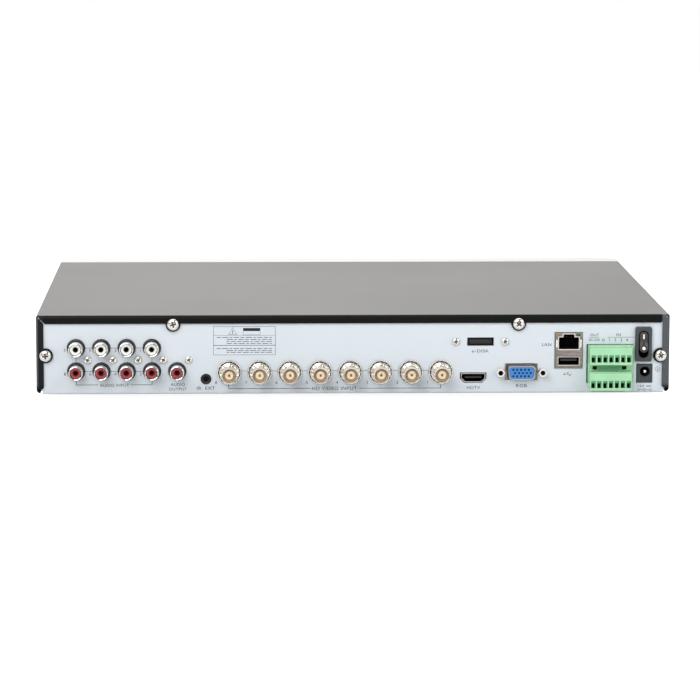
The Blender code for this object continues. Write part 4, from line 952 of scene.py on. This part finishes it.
def notice_marks():
    """A ruled notice: frame, dividers, a dark heading, a plain triangle and dashed rows that say nothing."""
    left, right, low, high = -0.0829, -0.0463, 0.0234, 0.0403
    near, far, foot, head = -0.0654, -0.0553, 0.0354, 0.0376
    marks = strokes(0.0002, (left, low, right, low), (left, high, right, high), (left, low, left, high),
                    (right, low, right, high))
    marks += [stroke(left, 0.0291, right, 0.0291, 0.0003), stroke(left, 0.0350, right, 0.0350, 0.00015),
              slab((near, far), (head, 0.0394), (INK_LOW, INK_HIGH), 0.00001)]
    marks += strokes(0.00015, (near, foot, far, foot), (near, foot, near, head), (far, foot, far, head))
    triangle = np.array([(0.0, 0.0026), (-0.0026, -0.0017), (0.0026, -0.0017)])
    path = [(0, INK_LOW), (0, INK_HIGH), (0.0003, INK_HIGH), (0.0003, INK_LOW)]
    marks.append(carried(triangle, path, spot_on(-0.0716, 0.0372), loop=True))
    marks.append(slab((-0.0718, -0.0714), (0.0362, 0.0381), (INK_LOW, INK_HIGH), 0.00001))
    for row, (start, z) in enumerate(((-0.0808, 0.0338), (-0.0749, 0.0326), (-0.0749, 0.0314), (-0.0749, 0.0302),
                                      (-0.0809, 0.0272), (-0.0750, 0.0260), (-0.0750, 0.0249))):
        x, step = start, 0
        while x < -0.0490:
            length = (0.0021, 0.0034, 0.0013, 0.0027)[(step + row) % 4]
            marks.append(stroke(x, z, min(x + length, -0.0486), z, 0.00035))
            x += length + 0.0011
            step += 1
    return marks


def printed_marks():
    """Everything printed on the connector panel."""
    marks = audio_marks() + video_marks() + port_marks() + notice_marks()
    piece("panel_print", join(*marks), "ink")


# Front, underside and inside

def front_details():
    """The bezel, its window and its data port, the seven keys and three lamps."""
    dress("bezel_plastic", "front_bezel")
    dress("smoked_window", "receiver_window")
    dress("nickel", "front_data_port")
    for name in ("select", "up", "down", "left", "right", "menu", "power"):
        key_cap(name)
    centre, _, high = middle("receiver_window")
    for index in range(3):
        at = np.array([high[0] + 0.008 + 0.006 * index, FRONT_FACE, centre[2]])
        lens = [(0, -0.0020), (0, 0.0001), (0.0003, 0.0003), (0.0007, 0.0004)]
        piece(f"status_lamp_{index + 1}", carried(circle(0.0012, 24), lens, at, FRONT), "green_lens")


def key_cap(name):
    """One key: a cap with eased edges and a dished face, its flange and stem, and its mark in the dish."""
    node = "key_" + name
    centre, low, high = middle(node)
    width, height = high[0] - low[0] - 0.0016, high[2] - low[2] - 0.0016
    at = np.array([centre[0], high[1], centre[2]])
    path = [(0, -0.0052), (0, -0.0006), (0.0001, -0.0002), (0.0005, 0), (0.0008, -0.00005), (0.0013, -0.00024),
            (0.0020, -0.0003)]
    cap = carried(round_rect(width, height, 0.0012), path, at, FRONT)
    flange = carried(round_rect(width + 0.0016, height + 0.0016, 0.0010), [(0, -0.0056), (0, -0.0043)], at, FRONT)
    stem = carried(round_rect(0.0030, 0.0030, 0.0003), [(0, low[1] - high[1]), (0, -0.0050)], at, FRONT)
    piece(node + "_cap", join(cap, flange, stem), "key_plastic", body=node, stands_for=[node])
    piece(node + "_mark", key_mark(name, at - [0, 0.00031, 0]), "pale_ink", body=node)


def key_mark(name, at):
    """A key's mark: a ring, an arrow, three bars or a broken ring with a bar."""
    flat = [(0, 0), (0, 0.00006), (0.00001, 0.00006)]
    if name == "select":
        return carried(circle(0.0012, 28), [(0, 0), (0, 0.00006), (0.0004, 0.00006), (0.0004, 0)], at, FRONT,
                       loop=True)
    if name == "menu":
        rows = [carried(round_rect(0.0050, 0.0004, 0.0001, 2), flat, at + [0, 0, lift], FRONT)
                for lift in (-0.0012, 0.0, 0.0012)]
        return join(*rows)
    if name == "power":
        ring = carried(circle(0.0025, 36), [(0, 0), (0, 0.00006), (0.0004, 0.00006), (0.0004, 0)], at, FRONT,
                       loop=True)
        return join(ring, carried(round_rect(0.0005, 0.0024, 0.0002, 2), flat, at + [0, 0, 0.0014], FRONT))
    turn = {"right": 0, "up": 1, "left": 2, "down": 3}[name] * TAU / 4
    arrow = circle(0.0014, 3) @ np.array([[math.cos(turn), math.sin(turn)], [-math.sin(turn), math.cos(turn)]])
    return carried(arrow, flat, at, FRONT)


def underside():
    """Rubber feet with a hollow in each sole, and the screws that hold the disk bracket."""
    for index in range(1, 5):
        node = f"foot_{index}"
        centre, low, high = middle(node)
        radius = (high[0] - low[0]) / 2
        tall = high[2] - low[2]
        sole = [(0.0010, 0.0), (0.0001, 0.0002), (0.0, 0.0016), (0.0004, tall - 0.0006), (0.0009, tall),
                (0.0040, tall), (0.0045, tall - 0.0006), (0.0048, tall - 0.0022), (0.0062, tall - 0.0024)]
        at = np.array([centre[0], centre[1], high[2]])
        piece(f"rubber_foot_{index}", carried(circle(radius, 56), sole, at, BELOW), "rubber", stands_for=[node])
    _, low, high = middle("hard_drive")
    heads = []
    for x in (low[0] + 0.030, high[0] - 0.030):
        for y in (low[1] + 0.006, high[1] - 0.006):
            heads.append(pan_head(np.array([x, y, UNDER - 0.00005]), 0.0030, 0.0010, x + y, BELOW))
    piece("disk_screws", join(*heads), "nickel", crease=50)


def inside():
    """The parts inside the case, with components on the main board."""
    dress("board", "main_board", "front_board")
    dress("aluminium", "heat_sink", "hard_drive", "drive_bracket")
    dress("cable_grey", "drive_cable", "front_ribbon")
    _, low, high = middle("main_board")
    cans, chips = [], []
    for index in range(14):
        x = low[0] + 0.030 + 0.0235 * index
        at = np.array([x, low[1] + 0.032 + 0.010 * (index % 3), high[2]])
        can = [(0, 0), (0, 0.0078), (0.0003, 0.0082), (0.0010, 0.0082)]
        cans.append(carried(circle(0.0031, 28), can, at, ABOVE))
        corner = np.array([x - 0.006, low[1] + 0.110 - 0.012 * (index % 2), high[2]])
        chips.append(bar(corner, corner + [0.010, 0.010, 0.0014], 0.0002))
    piece("board_cans", join(*cans), "aluminium")
    piece("board_chips", join(*chips), "black_moulding")


# Studio

def studio():
    """A pale floor, a pale surround, soft lights and the camera."""
    scene = bpy.context.scene
    scene.view_settings.view_transform = "Standard"
    mesh = bpy.data.meshes.new("studio_floor")
    mesh.from_pydata([(-3, -3, 0), (3, -3, 0), (3, 3, 0), (-3, 3, 0)], [], [(0, 1, 2, 3)])
    finish("floor_paper", "panel_paint", (0.66, 0.66, 0.66), 0.9, tint=0.01, patch=2.0, grain=60.0, depth=0.0001,
           Emission_Strength=1.0)
    paper = LOOKS["floor_paper"].node_tree
    glow = Wire(paper).node("LightPath").mix((0, 0, 0, 1), (0.94, 0.94, 0.94, 1))
    paper.links.new(glow.socket, paper.nodes["Principled BSDF"].inputs["Emission Color"])
    mesh.materials.append(LOOKS["floor_paper"])
    floor = bpy.data.objects.new("studio_floor", mesh)
    scene.collection.objects.link(floor)
    surround()
    softbox("key_light", (-0.55, -1.50, 0.98), (0.0, -0.12, 0.03), 1.25, 20.0)
    softbox("fill_light", (0.80, -0.95, 0.50), (0.10, -0.13, 0.03), 0.70, 4.2)
    softbox("back_light", (0.20, 1.60, 1.40), (0.0, 0.0, 0.03), 1.20, 10.0)
    lens = bpy.data.cameras.new("camera")
    lens.lens = 168.72
    lens.sensor_width = 36.0
    lens.clip_end = 60.0
    camera = bpy.data.objects.new("camera", lens)
    camera.location = (-0.0659, -2.0548, 0.3125)
    camera.rotation_euler = [math.radians(angle) for angle in (81.6487, -0.1029, -1.8855)]
    scene.collection.objects.link(camera)
    scene.camera = camera


def surround():
    """A pale surround that glows less behind the camera than behind the recorder."""
    world = bpy.data.worlds.new("surround")
    bpy.context.scene.world = world
    world.use_nodes = True
    tree = world.node_tree
    sky = tree.nodes["Background"]
    wire = Wire(tree)
    way = wire.node("TexCoord", take=0)
    across, ahead = [wire.node("SeparateXYZ", None, {0: way}, axis) for axis in (0, 1)]
    glow = ahead.between(-0.5, 0.4, 0.24, 1.84) * across.between(0.02, 0.30, 1.0, 0.72)
    seen = wire.node("LightPath")
    tint = seen.mix((1.0, 0.985, 0.955, 1.0), (1.0, 1.0, 1.0, 1.0))
    strength = seen + (1 - seen) * glow
    tree.links.new(strength.socket, sky.inputs["Strength"])
    tree.links.new(tint.socket, sky.inputs["Color"])


def softbox(name, place, target, size, power):
    """A square soft light aimed at a place."""
    light = bpy.data.lights.new(name, "AREA")
    light.energy = power
    light.size = size
    lamp = bpy.data.objects.new(name, light)
    aim = np.array(target) - np.array(place)
    flat = math.hypot(aim[0], aim[1])
    lamp.location = place
    lamp.rotation_euler = (math.atan2(flat, -aim[2]), 0.0, math.atan2(-aim[0], aim[1]))
    bpy.context.scene.collection.objects.link(lamp)


make_finishes()
studio()
dress("cover_paint", "top_cover")
dress("panel_paint", "chassis_base")
screws()
phono_blocks()
bayonet_sockets()
remote_jack()
disk_link()
digital_port()
analog_port()
network_port()
terminal_block()
power_parts()
printed_marks()
front_details()
underside()
inside()
